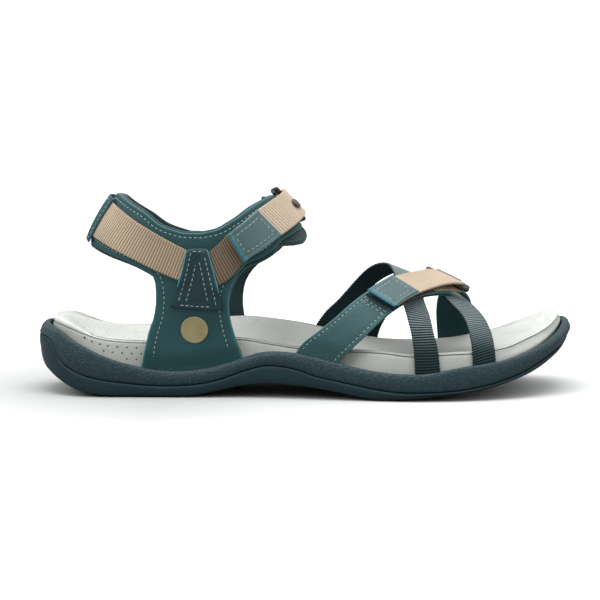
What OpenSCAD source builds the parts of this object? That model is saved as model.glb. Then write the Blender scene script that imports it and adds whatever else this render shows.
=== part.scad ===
// Strappy sport sandal, right foot, women's size EU 38.
// Frame: +X to the toe, +Y to the medial (inner) side, +Z up.
// The origin is on the ground at the centre of the heel contact face.

/* [Size] */
// Length of the outsole, heel to toe
sole_len = 260; // [240:1:280]
// Distance from the back of the heel to the origin
heel_contact_x = 58; // [54:1:64]

/* [Sole] */
// Thickness of the rubber outsole at the tread
outsole_t = 3; // [2.5:0.1:3.2]
// Height of the midsole floor over the bottom of the sole
floor_h = 7; // [6.5:0.1:7.5]
// Width of the raised midsole rim
rim_w = 3.2; // [2.6:0.1:3.2]
// Inset of the slot where the straps go down inside the rim
slot_in = 5.7; // [5.6:0.05:5.8]
// Thickness of the board on the midsole floor
board_t = 1.4; // [1:0.1:1.6]
// Thickness of the footbed's suede cover
cover_t = 1.2; // [0.8:0.1:1.4]

/* [Straps] */
// Depth of the tread grooves
tread_d = 1.2; // [0.6:0.1:1.6]
// Radius of the ring wire
ring_r = 1.3; // [1.2:0.05:1.4]
// Radial clearance of a ring bar in its keeper
ring_gap = 0.08; // [0.03:0.01:0.1]
// Wall of the ring keepers
keeper_wall = 0.8; // [0.7:0.05:0.9]
// Outer radius of the side badge
badge_r = 6.5; // [5:0.1:7]

/* [Hidden] */
// All tables are drawn for this length, with x from the back of the heel
design_len = 260;
x_scale = sole_len / design_len;

// ---- helpers ----
function lerp(a, b, t) = a + (b - a) * t;
function clamp01(t) = min(max(t, 0), 1);
function smooth(t) = let(u = clamp01(t)) u * u * (3 - 2 * u);
function unit(v) = v / norm(v);
function reverse(t) = [t[2], t[1], t[0]];
// smooth curve through the [x, value] rows of a table, in increasing x
function table_at(P, x, i = 0) =
  x <= P[0][0] ? P[0][1] :
  i >= len(P) - 1 ? P[len(P) - 1][1] :
  x > P[i+1][0] ? table_at(P, x, i + 1) :
  let(n = len(P), h = P[i+1][0] - P[i][0], t = (x - P[i][0]) / h,
      s = (P[i+1][1] - P[i][1]) / h,
      m0 = i > 0 ? (P[i+1][1] - P[i-1][1]) / (P[i+1][0] - P[i-1][0]) : s,
      m1 = i < n - 2 ? (P[i+2][1] - P[i][1]) / (P[i+2][0] - P[i][0]) : s)
  (2*t*t*t - 3*t*t + 1) * P[i][1] + (t*t*t - 2*t*t + t) * h * m0
  + (3*t*t - 2*t*t*t) * P[i+1][1] + (t*t*t - t*t) * h * m1;
// smooth curve through points of any dimension, t from 0 to 1
function curve_at(P, t) =
  let(n = len(P) - 1, s = min(max(t * n, 0), n - 1e-6), i = floor(s), f = s - i,
      b = P[i], c = P[i+1],
      a = i > 0 ? P[i-1] : 2*b - c,
      d = i < n - 1 ? P[i+2] : 2*c - b)
  0.5 * (2*b + (c - a)*f + (2*a - 5*b + 4*c - d)*f*f + (3*b - a - 3*c + d)*f*f*f);
// n + 1 points along the part of a curve given by span
function sample(P, n, span = [0, 1]) =
  [for (i = [0:n]) curve_at(P, lerp(span[0], span[1], i / n))];
// superellipse quarter, from 0 at t = 0 to 1 at t = 1
function round_end(t, power) = pow(1 - pow(1 - clamp01(t), power), 1 / power);
// from table coordinates to the chosen length
function stretch(p) = [p.x * x_scale, p.y, p.z];
module from_heel() translate([-heel_contact_x, 0, 0]) children();

// ---- outline of the sole: [x, half width] ----
LATERAL_WIDTH = [[0,33], [36,33.5], [60,34], [100,35.5], [140,42], [170,47], [190,48.5],
  [260,48.5]];
MEDIAL_WIDTH = [[0,32], [60,31.5], [100,30.5], [130,32.5], [160,40], [185,45], [205,47],
  [260,47]];
tip_y = 12;            // the tip of the toe lies towards the medial side
heel_round_len = 36;
heel_power = 2.2;
lateral_toe_x = 175;   // where each side starts to round off to the tip
medial_toe_x = 202;
toe_power = 2.4;
function side_y(width, x, toe_x) =
  let(y = width * round_end(x / heel_round_len, heel_power))
  x > toe_x
    ? tip_y + (y - tip_y) * round_end((design_len - x) / (design_len - toe_x), toe_power)
    : y;
function lateral_y(x) = side_y(-table_at(LATERAL_WIDTH, x), x, lateral_toe_x);
function medial_y(x) = side_y(table_at(MEDIAL_WIDTH, x), x, medial_toe_x);

// ---- heights of the sole: [x, z] ----
BOTTOM_Z = [[0,17.5], [3,12.4], [6,9.8], [11,6.4], [18.5,2.9], [25,1.2], [33,0.3], [42,0],
  [74,0], [88,2.6], [100,5.3], [114,6.5], [130,5.4], [146,2.9], [162,0], [176,0], [192,1.6],
  [208,3.2], [224,6.4], [240,11.4], [254,18.8], [260,23.8]];
// groove between the outsole and the midsole
GROOVE_Z = [[0,28], [7,26], [12,17], [19,12], [28,9], [40,7], [60,5.4], [77,6], [89,8.4],
  [103,13.4], [112,15.5], [124,14.4], [135,11], [148,8.3], [166,4.9], [180,3.9], [208,5.5],
  [232,11.4], [250,20.2], [260,27.4]];
// top of the midsole rim on each side
LATERAL_RIM_Z = [[0,33.4], [6,32], [12,29.9], [19,26.2], [31,20.6], [43,16.3], [58,13.2],
  [72,12.7], [86,14.7], [100,19], [108,21.6], [116,22.4], [128,21.4], [146,17.4],
  [164,13.7], [185,12.8], [205,15.9], [225,18.5], [241,23], [254,29.2], [260,33.4]];
MEDIAL_RIM_Z = [[0,33.4], [6,32], [12,30], [19,27], [31,21.6], [43,17.8], [60,16],
  [78,17.6], [94,21.8], [108,25.2], [118,25.3], [134,22], [150,17.4], [166,14], [185,13],
  [205,15.6], [225,20.6], [241,25.4], [254,30.6], [260,33.4]];
// edge of the covered footbed on each side
LATERAL_BED_Z = [[0,37.4], [7,36.2], [13,34.4], [20,31.6], [30,28.1], [44,26.4], [62,26.2],
  [80,26.9], [98,27.9], [112,25.9], [124,24.2], [145,23.2], [165,22.6], [181,21.1],
  [200,22], [216,22.6], [232,24.8], [246,29.4], [254,33.6], [260,37.6]];
MEDIAL_BED_Z = [[0,37.4], [7,36.8], [13,35.5], [20,33], [28,30.6], [38,28.9], [52,28.6],
  [70,30], [85,32], [100,33], [113,31.9], [128,29.5], [145,25], [166,20.6], [186,19.3],
  [204,20], [219,22.9], [230,25.5], [240,29], [250,33], [256,35.8], [260,37.6]];
function bottom_z(x) = max(0, table_at(BOTTOM_Z, x));
function groove_z(x) = table_at(GROOVE_Z, x);
// top of the outsole under the midsole
function core_z(x) = min(bottom_z(x) + outsole_t, groove_z(x) - 0.4);
function lateral_rim_z(x) = table_at(LATERAL_RIM_Z, x);
function medial_rim_z(x) = table_at(MEDIAL_RIM_Z, x);
function floor_z(x) = min(bottom_z(x) + floor_h, min(lateral_rim_z(x), medial_rim_z(x)) - 3.2);
// the footbed is dished deeper at the heel than at the forefoot
function dish_depth(x) = lerp(4.6, 1.6, smooth((x - 60) / 70));

// ---- rings of points round the sole, for stacked shells ----
side_n = 46;
station_x = [for (i = [0:side_n]) design_len / 2 * (1 - cos(180 * i / side_n))];
// from the heel along the lateral side to the tip, and back along the medial side
outline = concat(
  [for (i = [0:side_n]) [station_x[i],
    i == 0 ? 0 : i == side_n ? tip_y : lateral_y(station_x[i])]],
  [for (i = [side_n-1:-1:1]) [station_x[i], medial_y(station_x[i])]]);
ring_n = len(outline);
inward = [for (i = [0:ring_n-1])
  let(d = outline[(i+1) % ring_n] - outline[(i+ring_n-1) % ring_n]) unit([-d.y, d.x])];
function inset_point(i, by) = outline[i] + inward[i] * by;
function rim_z(i, x) = i <= side_n ? lateral_rim_z(x) : medial_rim_z(x);
function bed_z(i, x) = table_at(i <= side_n ? LATERAL_BED_Z : MEDIAL_BED_Z, x);
// middle line of the sole, kept clear of both ends
function spine(x) = let(c = min(max(x, 34), 226)) [c, (lateral_y(c) + medial_y(c)) / 2];
// inset is a length or a function of x; height is a function of the point number and x
function ring(inset, height) = [for (i = [0:ring_n-1])
  let(x = outline[i].x, p = inset_point(i, is_function(inset) ? inset(x) : inset))
  [p.x, p.y, height(i, x)]];
cap = concat([[0, 1, ring_n-1]],
  [for (i = [1:side_n-2]) each let(a = i, b = i+1, c = ring_n-i-1, d = ring_n-i)
    [[a, b, d], [b, c, d]]],
  [[side_n-1, side_n, side_n+1]]);
// solid through the rings, first to last; the first inner_n bands run inwards to outwards
// and split their quads the other way, to match the face they meet
module stack(rings, inner_n = 0) {
  top = (len(rings) - 1) * ring_n;
  sides = [for (k = [0:len(rings)-2]) for (i = [0:ring_n-1]) each
    let(a = k*ring_n + i, b = k*ring_n + (i+1) % ring_n, c = b + ring_n, d = a + ring_n)
    k < inner_n ? [[a, d, c], [a, c, b]] : [[d, b, a], [d, c, b]]];
  from_heel() polyhedron(
    points = [for (r = rings) for (p = r) stretch(p)],
    faces = concat(cap, sides, [for (t = cap) reverse(t + [top, top, top])]),
    convexity = 8);
}

// ---- sole pieces, rings in order from the bottom up unless noted ----
groove_half_y = 60;
module tread_groove(x, width)
  translate([(x - width / 2) * x_scale - heel_contact_x, -groove_half_y, -5])
    cube([width, 2 * groove_half_y, 5 + bottom_z(x) + tread_d * 0.6]);
module outsole() color("#2f4a4d") difference() {
  stack([
    ring(4.6, function(i, x) bottom_z(x)),
    ring(2.6, function(i, x) bottom_z(x) + 0.2),
    ring(0.9, function(i, x) min(bottom_z(x) + 1.3, groove_z(x) - 1)),
    ring(0.2, function(i, x) lerp(bottom_z(x), groove_z(x), 0.6)),
    ring(0.2, function(i, x) groove_z(x) - 0.1),
    ring(3.0, function(i, x) groove_z(x) - 0.1),
    ring(4.6, function(i, x) core_z(x))]);
  for (x = [150, 184, 196, 208]) tread_groove(x, 2.4);
  for (x = [78, 86, 128, 138]) tread_groove(x, 2);
}

// inset that changes at the heel and at the toe, where the wall leans
function lean(x, middle, heel, toe) = x < 130
  ? lerp(middle, heel, smooth((22 - x) / 20))
  : lerp(middle, toe, smooth((x - 238) / 20));
module midsole() color("#243d41")
  stack([
    ring(4.9, function(i, x) core_z(x) + 0.4),
    ring(3.3, function(i, x) groove_z(x) + 0.2),
    ring(0.3, function(i, x) groove_z(x) + 0.2),
    ring(function(x) lean(x, -0.5, 0.9, -1.4),
      function(i, x) lerp(groove_z(x), rim_z(i, x), 0.4)),
    ring(function(x) lean(x, 0.2, 2.6, -0.4), function(i, x) rim_z(i, x) - 1),
    ring(function(x) lean(x, 1, 3.4, 0.6), function(i, x) rim_z(i, x)),
    ring(function(x) lean(x, rim_w - 0.6, 4.9, rim_w - 0.6), function(i, x) rim_z(i, x)),
    ring(function(x) lean(x, rim_w, 5.4, rim_w), function(i, x) rim_z(i, x) - 0.8),
    ring(rim_w + 0.05, function(i, x) floor_z(x))]);

board_inset = 6.2;
board_gap = 0.1;
module insole_board() color("#b9a27c")
  stack([
    ring(board_inset, function(i, x) floor_z(x) + board_gap),
    ring(board_inset, function(i, x) floor_z(x) + board_gap + board_t)]);

function toe_blend(x, a, b) = lerp(a, b, smooth((x - 228) / 16));
// edge of the footbed under its cover; it drops round the padded heel
function bed_edge_z(i, x) = bed_z(i, x) - cover_t - 2.3 * smooth((34 - x) / 26);
function bed_edge(rise) =
  ring(function(x) lean(x, 9, 7.8, 5.2), function(i, x) bed_edge_z(i, x) + rise);
// dished top of the footbed under its cover, k of the way in to the spine
function dished_z(i, x, k) =
  lerp(bed_z(i, x), min(table_at(LATERAL_BED_Z, x), table_at(MEDIAL_BED_Z, x)),
    smooth(k * 1.3)) - cover_t - dish_depth(x) * smooth(k * 1.6);
function bed_ring(k, rise) = [for (i = [0:ring_n-1])
  let(p = lerp(inset_point(i, 8), spine(outline[i].x), k))
  [p.x, p.y, dished_z(i, p.x, k) + rise]];
bed_steps = [0.16, 0.36, 0.66];
module footbed() color("#c9cbc6")
  stack(concat([
    ring(board_inset, function(i, x) floor_z(x) + 2 * board_gap + board_t),
    ring(function(x) toe_blend(x, 6.25, 3.8),
      function(i, x) floor_z(x) + toe_blend(x, 3, 2.6)),
    ring(function(x) toe_blend(x, 6.3, 3.7), function(i, x) floor_z(x) + 4),
    ring(function(x) lean(x, 8.2, 7, 4.4), function(i, x) bed_edge_z(i, x) - 1.6),
    bed_edge(0)],
    [for (k = bed_steps) bed_ring(k, 0)]));
// underside from the middle out, then the top from the edge in
cover_gap = 0.15;
module footbed_cover() color("#dadbd6")
  stack(concat(
    [for (i = [2:-1:0]) bed_ring(bed_steps[i], cover_gap)],
    [bed_edge(cover_gap), bed_edge(cover_gap + cover_t * 0.6)],
    [for (k = bed_steps) bed_ring(k, 0.1 + cover_t)]), 3);

// ---- the foot's shape, as two skins that the straps lie on ----
FOREFOOT = 0;
ANKLE = 1;
function lateral_slot_y(x) = lateral_y(x) + slot_in;
function medial_slot_y(x) = medial_y(x) - slot_in;
// top of the forefoot: [x, z]
CROWN_Z = [[110,92], [120,84], [131,77], [140,72.5], [155,66], [169,60], [182,54.8],
  [195,49.5], [210,42.5], [222,36.5], [232,31]];
crown_shift = 8;   // the crown lies this far towards the medial side
// angle goes over the foot, from 0 at the lateral slot to 180 at the medial slot
function forefoot(x, angle) =
  let(a = lateral_slot_y(x), b = medial_slot_y(x),
      base = (lateral_rim_z(x) + medial_rim_z(x)) / 2 - 3.4)
  [x, (a + b) / 2 - (b - a) / 2 * cos(angle) + crown_shift * pow(sin(angle), 2),
    base + (table_at(CROWN_Z, x) - base) * sin(angle)];
// half width of the ankle: [z, half width]
ANKLE_WIDTH = [[10,31.5], [45,31.2], [60,31], [75,30.5], [90,29.5], [105,28.5]];
// the back leans forwards and curves more from z = 68 up; the front leans backwards
function ankle_back_x(z) = 29.4 + (z - 72.6) * 0.328 + 0.0085 * pow(max(z - 68, 0), 2);
function ankle_front_x(z) = 113.8 + (90.3 - z) * 0.956;
// angle goes round from 0 at the front over the lateral side;
// below z = 48 the sides blend into the slots
function ankle(angle, z) =
  let(back = ankle_back_x(z), front = ankle_front_x(z),
      x = (front + back) / 2 + (front - back) / 2 * cos(angle),
      y = -table_at(ANKLE_WIDTH, z) * sin(angle),
      w = smooth((48 - z) / 22))
  [x, w > 0 ? lerp(y, sin(angle) > 0 ? lateral_slot_y(x) : medial_slot_y(x), w) : y, z];
// p is [x, angle] on the forefoot and [angle, z] on the ankle
function skin_point(skin, p) = skin == FOREFOOT ? forefoot(p.x, p.y) : ankle(p.x, p.y);
function skin_normal(skin, p) = let(e = 0.25,
    u = skin_point(skin, p + [e, 0]) - skin_point(skin, p - [e, 0]),
    v = skin_point(skin, p + [0, e]) - skin_point(skin, p - [0, e]))
  unit((skin == FOREFOOT ? 1 : -1) * cross(u, v));
// a face stands off by rim_h at the rim, to lie flat in the slot, and by h above it
function face_point(skin, p, rim_h, h) =
  let(q = skin_point(skin, p),
      rim = q.y < 0 ? lateral_rim_z(q.x) : medial_rim_z(q.x),
      w = smooth((q.z - rim - 0.3) / 9))
  q + skin_normal(skin, p) * lerp(rim_h, h, w);

// ---- layers: [inner, outer] face heights off the skin ----
rim_layer = [0.15, 1.15];          // at the rim, unless a piece has its own
ankle_lining_layer = [0.3, 2.35];
quarter_layer = [2.6, 3.8];
quarter_rim_layer = [1.3, 1.95];
webbing_layer = [4.05, 5.2];
patch_layer = [5.4, 6.5];
instep_loop_layer = [5.4, 6.0];
instep_hook_layer = [6.2, 6.8];
instep_tail_layer = [7.0, 8.2];
instep_tab_layer = [8.4, 9.6];
cross_layer = [0.2, 1.45];
front_lining_layer = [1.7, 2.75];
front_leather_layer = [2.95, 4.1];
front_leather_rim_layer = [1.35, 2.3];
anchor_layer = [1.7, 2.95];
anchor_rim_layer = [0.15, 1.35];
front_loop_layer = [4.3, 5.0];
front_base_layer = [4.3, 5.4];
front_hook_layer = [5.6, 6.2];
front_tail_layer = [6.4, 7.6];
front_tab_layer = [7.8, 9.0];

// solid layer between two edges of the same number of points, in steps across;
// lift(u) is added to its height, u from 0 to 1 along it
module sheet(skin, edge_a, edge_b, across, layer, rim = rim_layer,
    lift = function(u) 0) {
  n = len(edge_a) - 1;
  m = across;
  points = [for (i = [0:n]) for (j = [0:m])
    let(p = lerp(edge_a[i], edge_b[i], j / m), l = lift(i / n))
    each [for (s = [0, 1]) face_point(skin, p, rim[s], layer[s] + l)]];
  at = function(i, j, s) 2 * (i * (m + 1) + j) + s;
  quad = function(a, b, c, d) [[a, b, c], [a, c, d]];
  faces = concat(
    [for (i = [0:n-1]) for (j = [0:m-1]) each
      quad(at(i,j,1), at(i+1,j,1), at(i+1,j+1,1), at(i,j+1,1))],
    [for (i = [0:n-1]) for (j = [0:m-1]) each
      quad(at(i,j,0), at(i,j+1,0), at(i+1,j+1,0), at(i+1,j,0))],
    [for (i = [0:n-1]) each quad(at(i,0,0), at(i+1,0,0), at(i+1,0,1), at(i,0,1))],
    [for (i = [0:n-1]) each quad(at(i,m,0), at(i,m,1), at(i+1,m,1), at(i+1,m,0))],
    [for (j = [0:m-1]) each quad(at(0,j,0), at(0,j,1), at(0,j+1,1), at(0,j+1,0))],
    [for (j = [0:m-1]) each quad(at(n,j,0), at(n,j+1,0), at(n,j+1,1), at(n,j,1))]);
  // the faces are reversed where the edges run the other way round
  h = floor(n / 2);
  corner = points[at(h,0,1)];
  reversed = cross(points[at(h+1,0,1)] - corner, points[at(h,1,1)] - corner)
    * (corner - points[at(h,0,0)]) > 0;
  from_heel() polyhedron(
    points = [for (p = points) stretch(p)],
    faces = reversed ? [for (t = faces) reverse(t)] : faces,
    convexity = 10);
}
// sheet between two smooth edges, n steps along the given span of them
module strap(skin, edge_a, edge_b, n, across, layer, rim = rim_layer, span = [0, 1],
    lift = function(u) 0)
  sheet(skin, sample(edge_a, n, span), sample(edge_b, n, span), across, layer, rim, lift);
// lateral ankle edge to the medial side
function flip(P) = [for (p = P) [-p.x, p.y]];

// ---- quarters: edges as [angle, z] ----
rear_low = [[179.6,71], [160,69.8], [134.4,65.2], [122.1,61.5], [115.8,57.5], [114.9,48.5],
  [116.3,39], [119.5,28.8], [122.4,11]];
lateral_front_low = [[87.5,14], [87.4,33.2], [85.7,44.9], [81.1,53.9], [72.2,62.6],
  [61.2,65.9], [50,69.6], [41.9,72.8], [24,75.6], [-3,77.6]];
lateral_rear_top = [[179.6,93.5], [154.8,93.2], [125.6,88.2], [110.5,81.9], [98,78.6]];
lateral_front_top = [[88,78.3], [78,79.9], [68.2,83.1], [47.7,89], [24,92], [-3,92.4]];
// the medial side has a lower collar, and its arm stops at the ring
medial_front_low = [[85,15], [84.5,33], [82,44], [77,52.6], [69,59.4], [60,63.4],
  [50,67.6], [42,71.2], [34,73.8], [27,75.4]];
medial_rear_top = [[179.6,93.5], [154.8,92.2], [125.6,84.8], [110.5,77.8], [98,74]];
medial_front_top = [[88,73.6], [78,74.9], [68.2,77.8], [55,82.4], [40,87.8], [27,91.4]];
// two curves joined by a straight run
function join(rear, front) = concat(sample(rear, 22),
  [for (i = [1:5]) lerp(rear[len(rear)-1], front[0], i / 6)], sample(front, 22));
lateral_low = join(rear_low, lateral_front_low);
lateral_up = join(lateral_rear_top, lateral_front_top);
medial_low = join(rear_low, medial_front_low);
medial_up = join(medial_rear_top, medial_front_top);
// the padded lining stands past the leather's edge, with a bulge under the arm's end
function grow(edge, other, by, bulge = 0) = [for (i = [0:len(edge)-1])
  let(p = edge[i], extra = bulge * max(0, sin(180 * clamp01((44 - p.x) / 44))))
  p + unit(p - other[i]) * (by * smooth((p.y - 22) / 12) + extra)];
lining_low_by = 2;
lining_up_by = 0.8;
module quarter(edge_a, edge_b)
  sheet(ANKLE, edge_a, edge_b, 8, quarter_layer, quarter_rim_layer);
module quarter_lining(edge_a, edge_b) sheet(ANKLE, edge_a, edge_b, 8, ankle_lining_layer);
module lateral_quarter() color("#39565c") quarter(lateral_low, lateral_up);
module lateral_lining() color("#33494b")
  quarter_lining(grow(lateral_low, lateral_up, lining_low_by, 4),
    grow(lateral_up, lateral_low, lining_up_by));
module medial_quarter() color("#39565c") quarter(flip(medial_up), flip(medial_low));
module medial_lining() color("#33494b")
  quarter_lining(flip(grow(medial_up, medial_low, lining_up_by)),
    flip(grow(medial_low, medial_up, lining_low_by, 1)));

// ---- heel: edges as [angle, z] ----
// webbing from under the lateral keystone, round the heel, to under the medial keystone
heel_lateral_low = [[103,55.8], [115,61], [130,66.9], [150,71.6], [165,73.4], [180,74]];
heel_lateral_up = [[95,69.6], [107,75.4], [121,81], [140,86.4], [160,89.4], [180,90.4]];
heel_medial_low = [[103,53.6], [115,58.8], [130,65.4], [150,71.2], [165,73.2], [180,74]];
heel_medial_up = [[95,66.6], [107,72.4], [121,78.6], [140,85], [160,89], [180,90.4]];
function round_back(lateral, medial) = concat(lateral,
  [for (i = [len(medial)-2:-1:0]) [360 - medial[i].x, medial[i].y]]);
module heel_webbing() color("#a8977c")
  strap(ANKLE, round_back(heel_lateral_low, heel_medial_low),
    round_back(heel_lateral_up, heel_medial_up), 46, 3, webbing_layer);
// leather cover at the back of the heel, over the webbing
back_cover_low = [[165,70.4], [173,71.3], [180,71.6], [187,71.3], [195,70.4]];
back_cover_up = [[157,90.7], [168,91.3], [180,91.5], [192,91.3], [203,90.7]];
module heel_back_cover() color("#39565c")
  strap(ANKLE, back_cover_low, back_cover_up, 14, 4, patch_layer);
// stitched wedge of leather that bridges the ends of the heel and instep webbing
keystone_low = [[109,43.6], [102,43], [95,42.6], [88.4,42.4]];
lateral_keystone_up = [[97,71], [94,71.4], [90,71.4], [86.4,71.2]];
medial_keystone_up = [[97,68.6], [94,69], [90,69], [86.4,68.8]];
module keystone(low, up) strap(ANKLE, low, up, 8, 8, patch_layer);
module lateral_keystone() color("#36535a") keystone(keystone_low, lateral_keystone_up);
module medial_keystone() color("#36535a")
  keystone(flip(keystone_low), flip(medial_keystone_up));

// ---- instep closure: edges as [angle, z] ----
instep_low = [[89,52.6], [80,57.6], [71,64.5], [60,69], [45,73.8], [30,76.8], [15,78.6],
  [0,79.6], [-9.5,79.9]];
instep_up = [[90,67.6], [82,72], [73.2,77.4], [62,82], [50,86], [36,88.6], [18,90.2],
  [0,90.8], [-9.5,91]];
instep_medial_low = [[89,50.6], [80,55], [71,61.4], [60,65.8], [45,71.6], [30,76.2],
  [17,78.4]];
instep_medial_up = [[90,64.6], [82,68.6], [73.2,73.2], [62,77.8], [50,82.6], [36,87.2],
  [20,89.8]];
module instep_part(span, n, across, layer, lift = function(u) 0)
  strap(ANKLE, instep_low, instep_up, n, across, layer, span = span, lift = lift);
module instep_base_webbing() color("#6b5f4c") instep_part([0, 1], 34, 4, webbing_layer);
module instep_loop_strip() color("#22383b")
  instep_part([0.27, 0.8], 20, 3, instep_loop_layer);
module instep_hook_patch() color("#1c2c2f")
  instep_part([0.3, 0.66], 14, 3, instep_hook_layer);
// the tails rise towards their rings
module instep_tail() color("#d3c2a9")
  instep_part([0.3, 1], 28, 4, instep_tail_layer,
    lift = function(u) 1.55 * smooth((u - 0.6) / 0.36));
module instep_tab() color("#5f7c7f") instep_part([0.235, 0.5], 12, 4, instep_tab_layer);
module instep_medial_webbing() color("#a8977c")
  strap(ANKLE, flip(instep_medial_low), flip(instep_medial_up), 26, 4, webbing_layer);

// ---- rings and keepers ----
// Frame of a ring: [origin, x axis, y axis, z axis, distance between the bars].
// The origin is at the middle of the keeper bar, x runs along the bar and y towards the
// strap's bar. slide moves it along the bar to centre the ring on the strap.
function ring_frame(skin, keeper_at, keeper_h, strap_at, strap_h, bar_from, bar_to, slide) =
  let(keeper = skin_point(skin, keeper_at) + skin_normal(skin, keeper_at) * keeper_h,
      far = skin_point(skin, strap_at) + skin_normal(skin, strap_at) * strap_h,
      ex = unit(skin_point(skin, bar_to) - skin_point(skin, bar_from)),
      d = far - keeper,
      e = d - ex * (d * ex),
      ey = unit(e))
  [keeper + ex * slide, ex, ey, cross(ex, ey), norm(e)];
module place(p) from_heel() translate(stretch(p)) children();
module to_frame(f) place(f[0])
  multmatrix([for (r = [0:2]) [f[1][r], f[2][r], f[3][r], 0]]) children();
module wire(a, b) {
  d = b - a;
  translate(a) rotate([0, 0, atan2(d.y, d.x)]) rotate([0, 90, 0])
    cylinder(h = norm(d), r = ring_r, $fn = 32);
}
module closure_ring(frame, width) to_frame(frame) {
  x = width / 2;
  y = frame[4];
  corners = [[-x, 0, 0], [x, 0, 0], [x, y, 0], [-x, y, 0]];
  for (i = [0:3]) {
    wire(corners[i], corners[(i + 1) % 4]);
    translate(corners[i]) sphere(r = ring_r, $fn = 32);
  }
}
keeper_w = 13;
// z_out is 1 where the frame's z points away from the foot and -1 where it points to it;
// the plate lies on the foot's side, behind the bar
module closure_keeper(frame, plate, z_out) to_frame(frame) {
  bore = ring_r + ring_gap;
  outer = bore + keeper_wall;
  difference() {
    union() {
      translate([-keeper_w/2, 0, 0]) rotate([0, 90, 0])
        cylinder(h = keeper_w, r = outer, $fn = 40);
      translate([-keeper_w/2, -plate, z_out > 0 ? -outer : outer - keeper_wall])
        cube([keeper_w, plate, keeper_wall]);
    }
    translate([-keeper_w/2 - 1, 0, 0]) rotate([0, 90, 0])
      cylinder(h = keeper_w + 2, r = bore, $fn = 40);
  }
}
instep_frame = ring_frame(ANKLE, keeper_at = [-26, 85.5], keeper_h = 7.8,
  strap_at = [-11, 85.5], strap_h = 6.85,
  bar_from = [-18.5, 80], bar_to = [-18.5, 91], slide = -2.4);
module instep_ring() color("#3b3f42") closure_ring(instep_frame, width = 19.4);
module instep_ring_keeper() color("#39565c")
  closure_keeper(instep_frame, plate = 7, z_out = 1);

// ---- badges, flat on the ankle at [angle, z] and height h ----
module on_ankle(p, h) {
  n = skin_normal(ANKLE, p);
  place(skin_point(ANKLE, p) + n * h) rotate([0, acos(n.z), atan2(n.y, n.x)]) children();
}
module instep_badge() color("#4a4540") on_ankle([6, 84.4], h = 9.25)
  hull() for (s = [-1, 1]) translate([s * 2.4, 0, 0]) cylinder(h = 0.7, r = 2.6, $fn = 28);
module side_badge() color("#a59669") on_ankle([101.3, 32.8], h = 4.7)
  cylinder(h = 0.5, r = badge_r, $fn = 48);

// ---- forefoot straps: back and front edges as [x, angle] ----
cross_rear_back = [[182.4,-0.5], [181.7,17], [180.4,28.2], [177.9,41.9], [175.2,56],
  [172.6,78], [169.3,98.6], [160.8,122.7], [154.2,138.8], [147.6,151.5], [140.4,162],
  [132.6,176]];
cross_rear_front = [[194.5,-0.5], [193.1,18.2], [191.1,31.1], [189.5,42], [187.3,53],
  [184.6,74], [180.3,97], [172.6,118], [165.2,134], [158.4,148], [152.6,160], [148.4,176]];
cross_front_back = [[209.6,-1], [209.5,16], [208.5,33], [205.8,49], [199.4,61.5],
  [190.5,77], [183.6,95], [175.9,114], [168,132], [160.9,148], [154.8,160], [150.6,176]];
cross_front_front = [[220.9,-1], [220.2,23], [218.8,42.5], [216.2,58], [211.2,72],
  [203.4,87], [195,104], [187.2,121], [178.9,139], [172.2,154], [168.2,165], [166.2,176]];
module cross_webbing_rear() color("#2e4044")
  strap(FOREFOOT, cross_rear_back, cross_rear_front, 52, 4, cross_layer);
module cross_webbing_front() color("#33464a")
  strap(FOREFOOT, cross_front_back, cross_front_front, 52, 4, cross_layer);

leather_back = [[122.6,-4], [128.6,6], [135.6,13.5], [143.6,22.6], [151.4,33], [159.6,44],
  [170.6,57], [179,64.5], [186.5,71.5]];
leather_front = [[141.8,-4], [146.9,4], [152.4,11], [159,19.5], [165.2,28], [172,37.5],
  [182,49.5], [192.5,60], [200.6,67.5]];
module front_lateral_strap() color("#3b5c60")
  strap(FOREFOOT, leather_back, leather_front, 34, 6, front_leather_layer,
    front_leather_rim_layer);
module front_strap_lining() color("#2c4144")
  strap(FOREFOOT, leather_back, leather_front, 34, 6, front_lining_layer);

// closure on top of the leather, up to the ring
closure_back = [[158.6,41], [165,49], [171.2,57], [181,66.5], [190,75]];
closure_front = [[172,36], [177.2,43], [184,51], [194.2,61.5], [204.4,71]];
module front_part(span, n, layer, lift = function(u) 0)
  strap(FOREFOOT, closure_back, closure_front, n, 4, layer, span = span, lift = lift);
module front_loop_strip() color("#1f3235") front_part([0, 0.66], 16, front_loop_layer);
module front_base_webbing() color("#b39a7c") front_part([0.7, 1], 8, front_base_layer);
module front_hook_patch() color("#1c2c2f") front_part([0.1, 0.55], 12, front_hook_layer);
module front_tail() color("#d5c1a8")
  front_part([0.08, 1], 24, front_tail_layer,
    lift = function(u) 2.1 * smooth((u - 0.5) / 0.42));
module front_tab() color("#6b8688") front_part([0, 0.46], 12, front_tab_layer);

anchor_back = [[198.2,176], [198,165], [197,148], [197,134], [198,118], [196.6,103],
  [193,90]];
anchor_front = [[218.8,172], [218.4,160], [217,148], [215,134], [212.6,118], [210,103],
  [207.2,88]];
module front_medial_anchor() color("#2a4347")
  strap(FOREFOOT, anchor_back, anchor_front, 26, 5, anchor_layer, anchor_rim_layer);
front_frame = ring_frame(FOREFOOT, keeper_at = [199.2, 86], keeper_h = 5.75,
  strap_at = [197.6, 73.2], strap_h = 7.05,
  bar_from = [191.5, 80], bar_to = [205.8, 76], slide = -1.2);
module front_ring() color("#7d8285") closure_ring(front_frame, width = 21.2);
module front_ring_keeper() color("#2a4347")
  closure_keeper(front_frame, plate = 6, z_out = -1);

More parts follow.
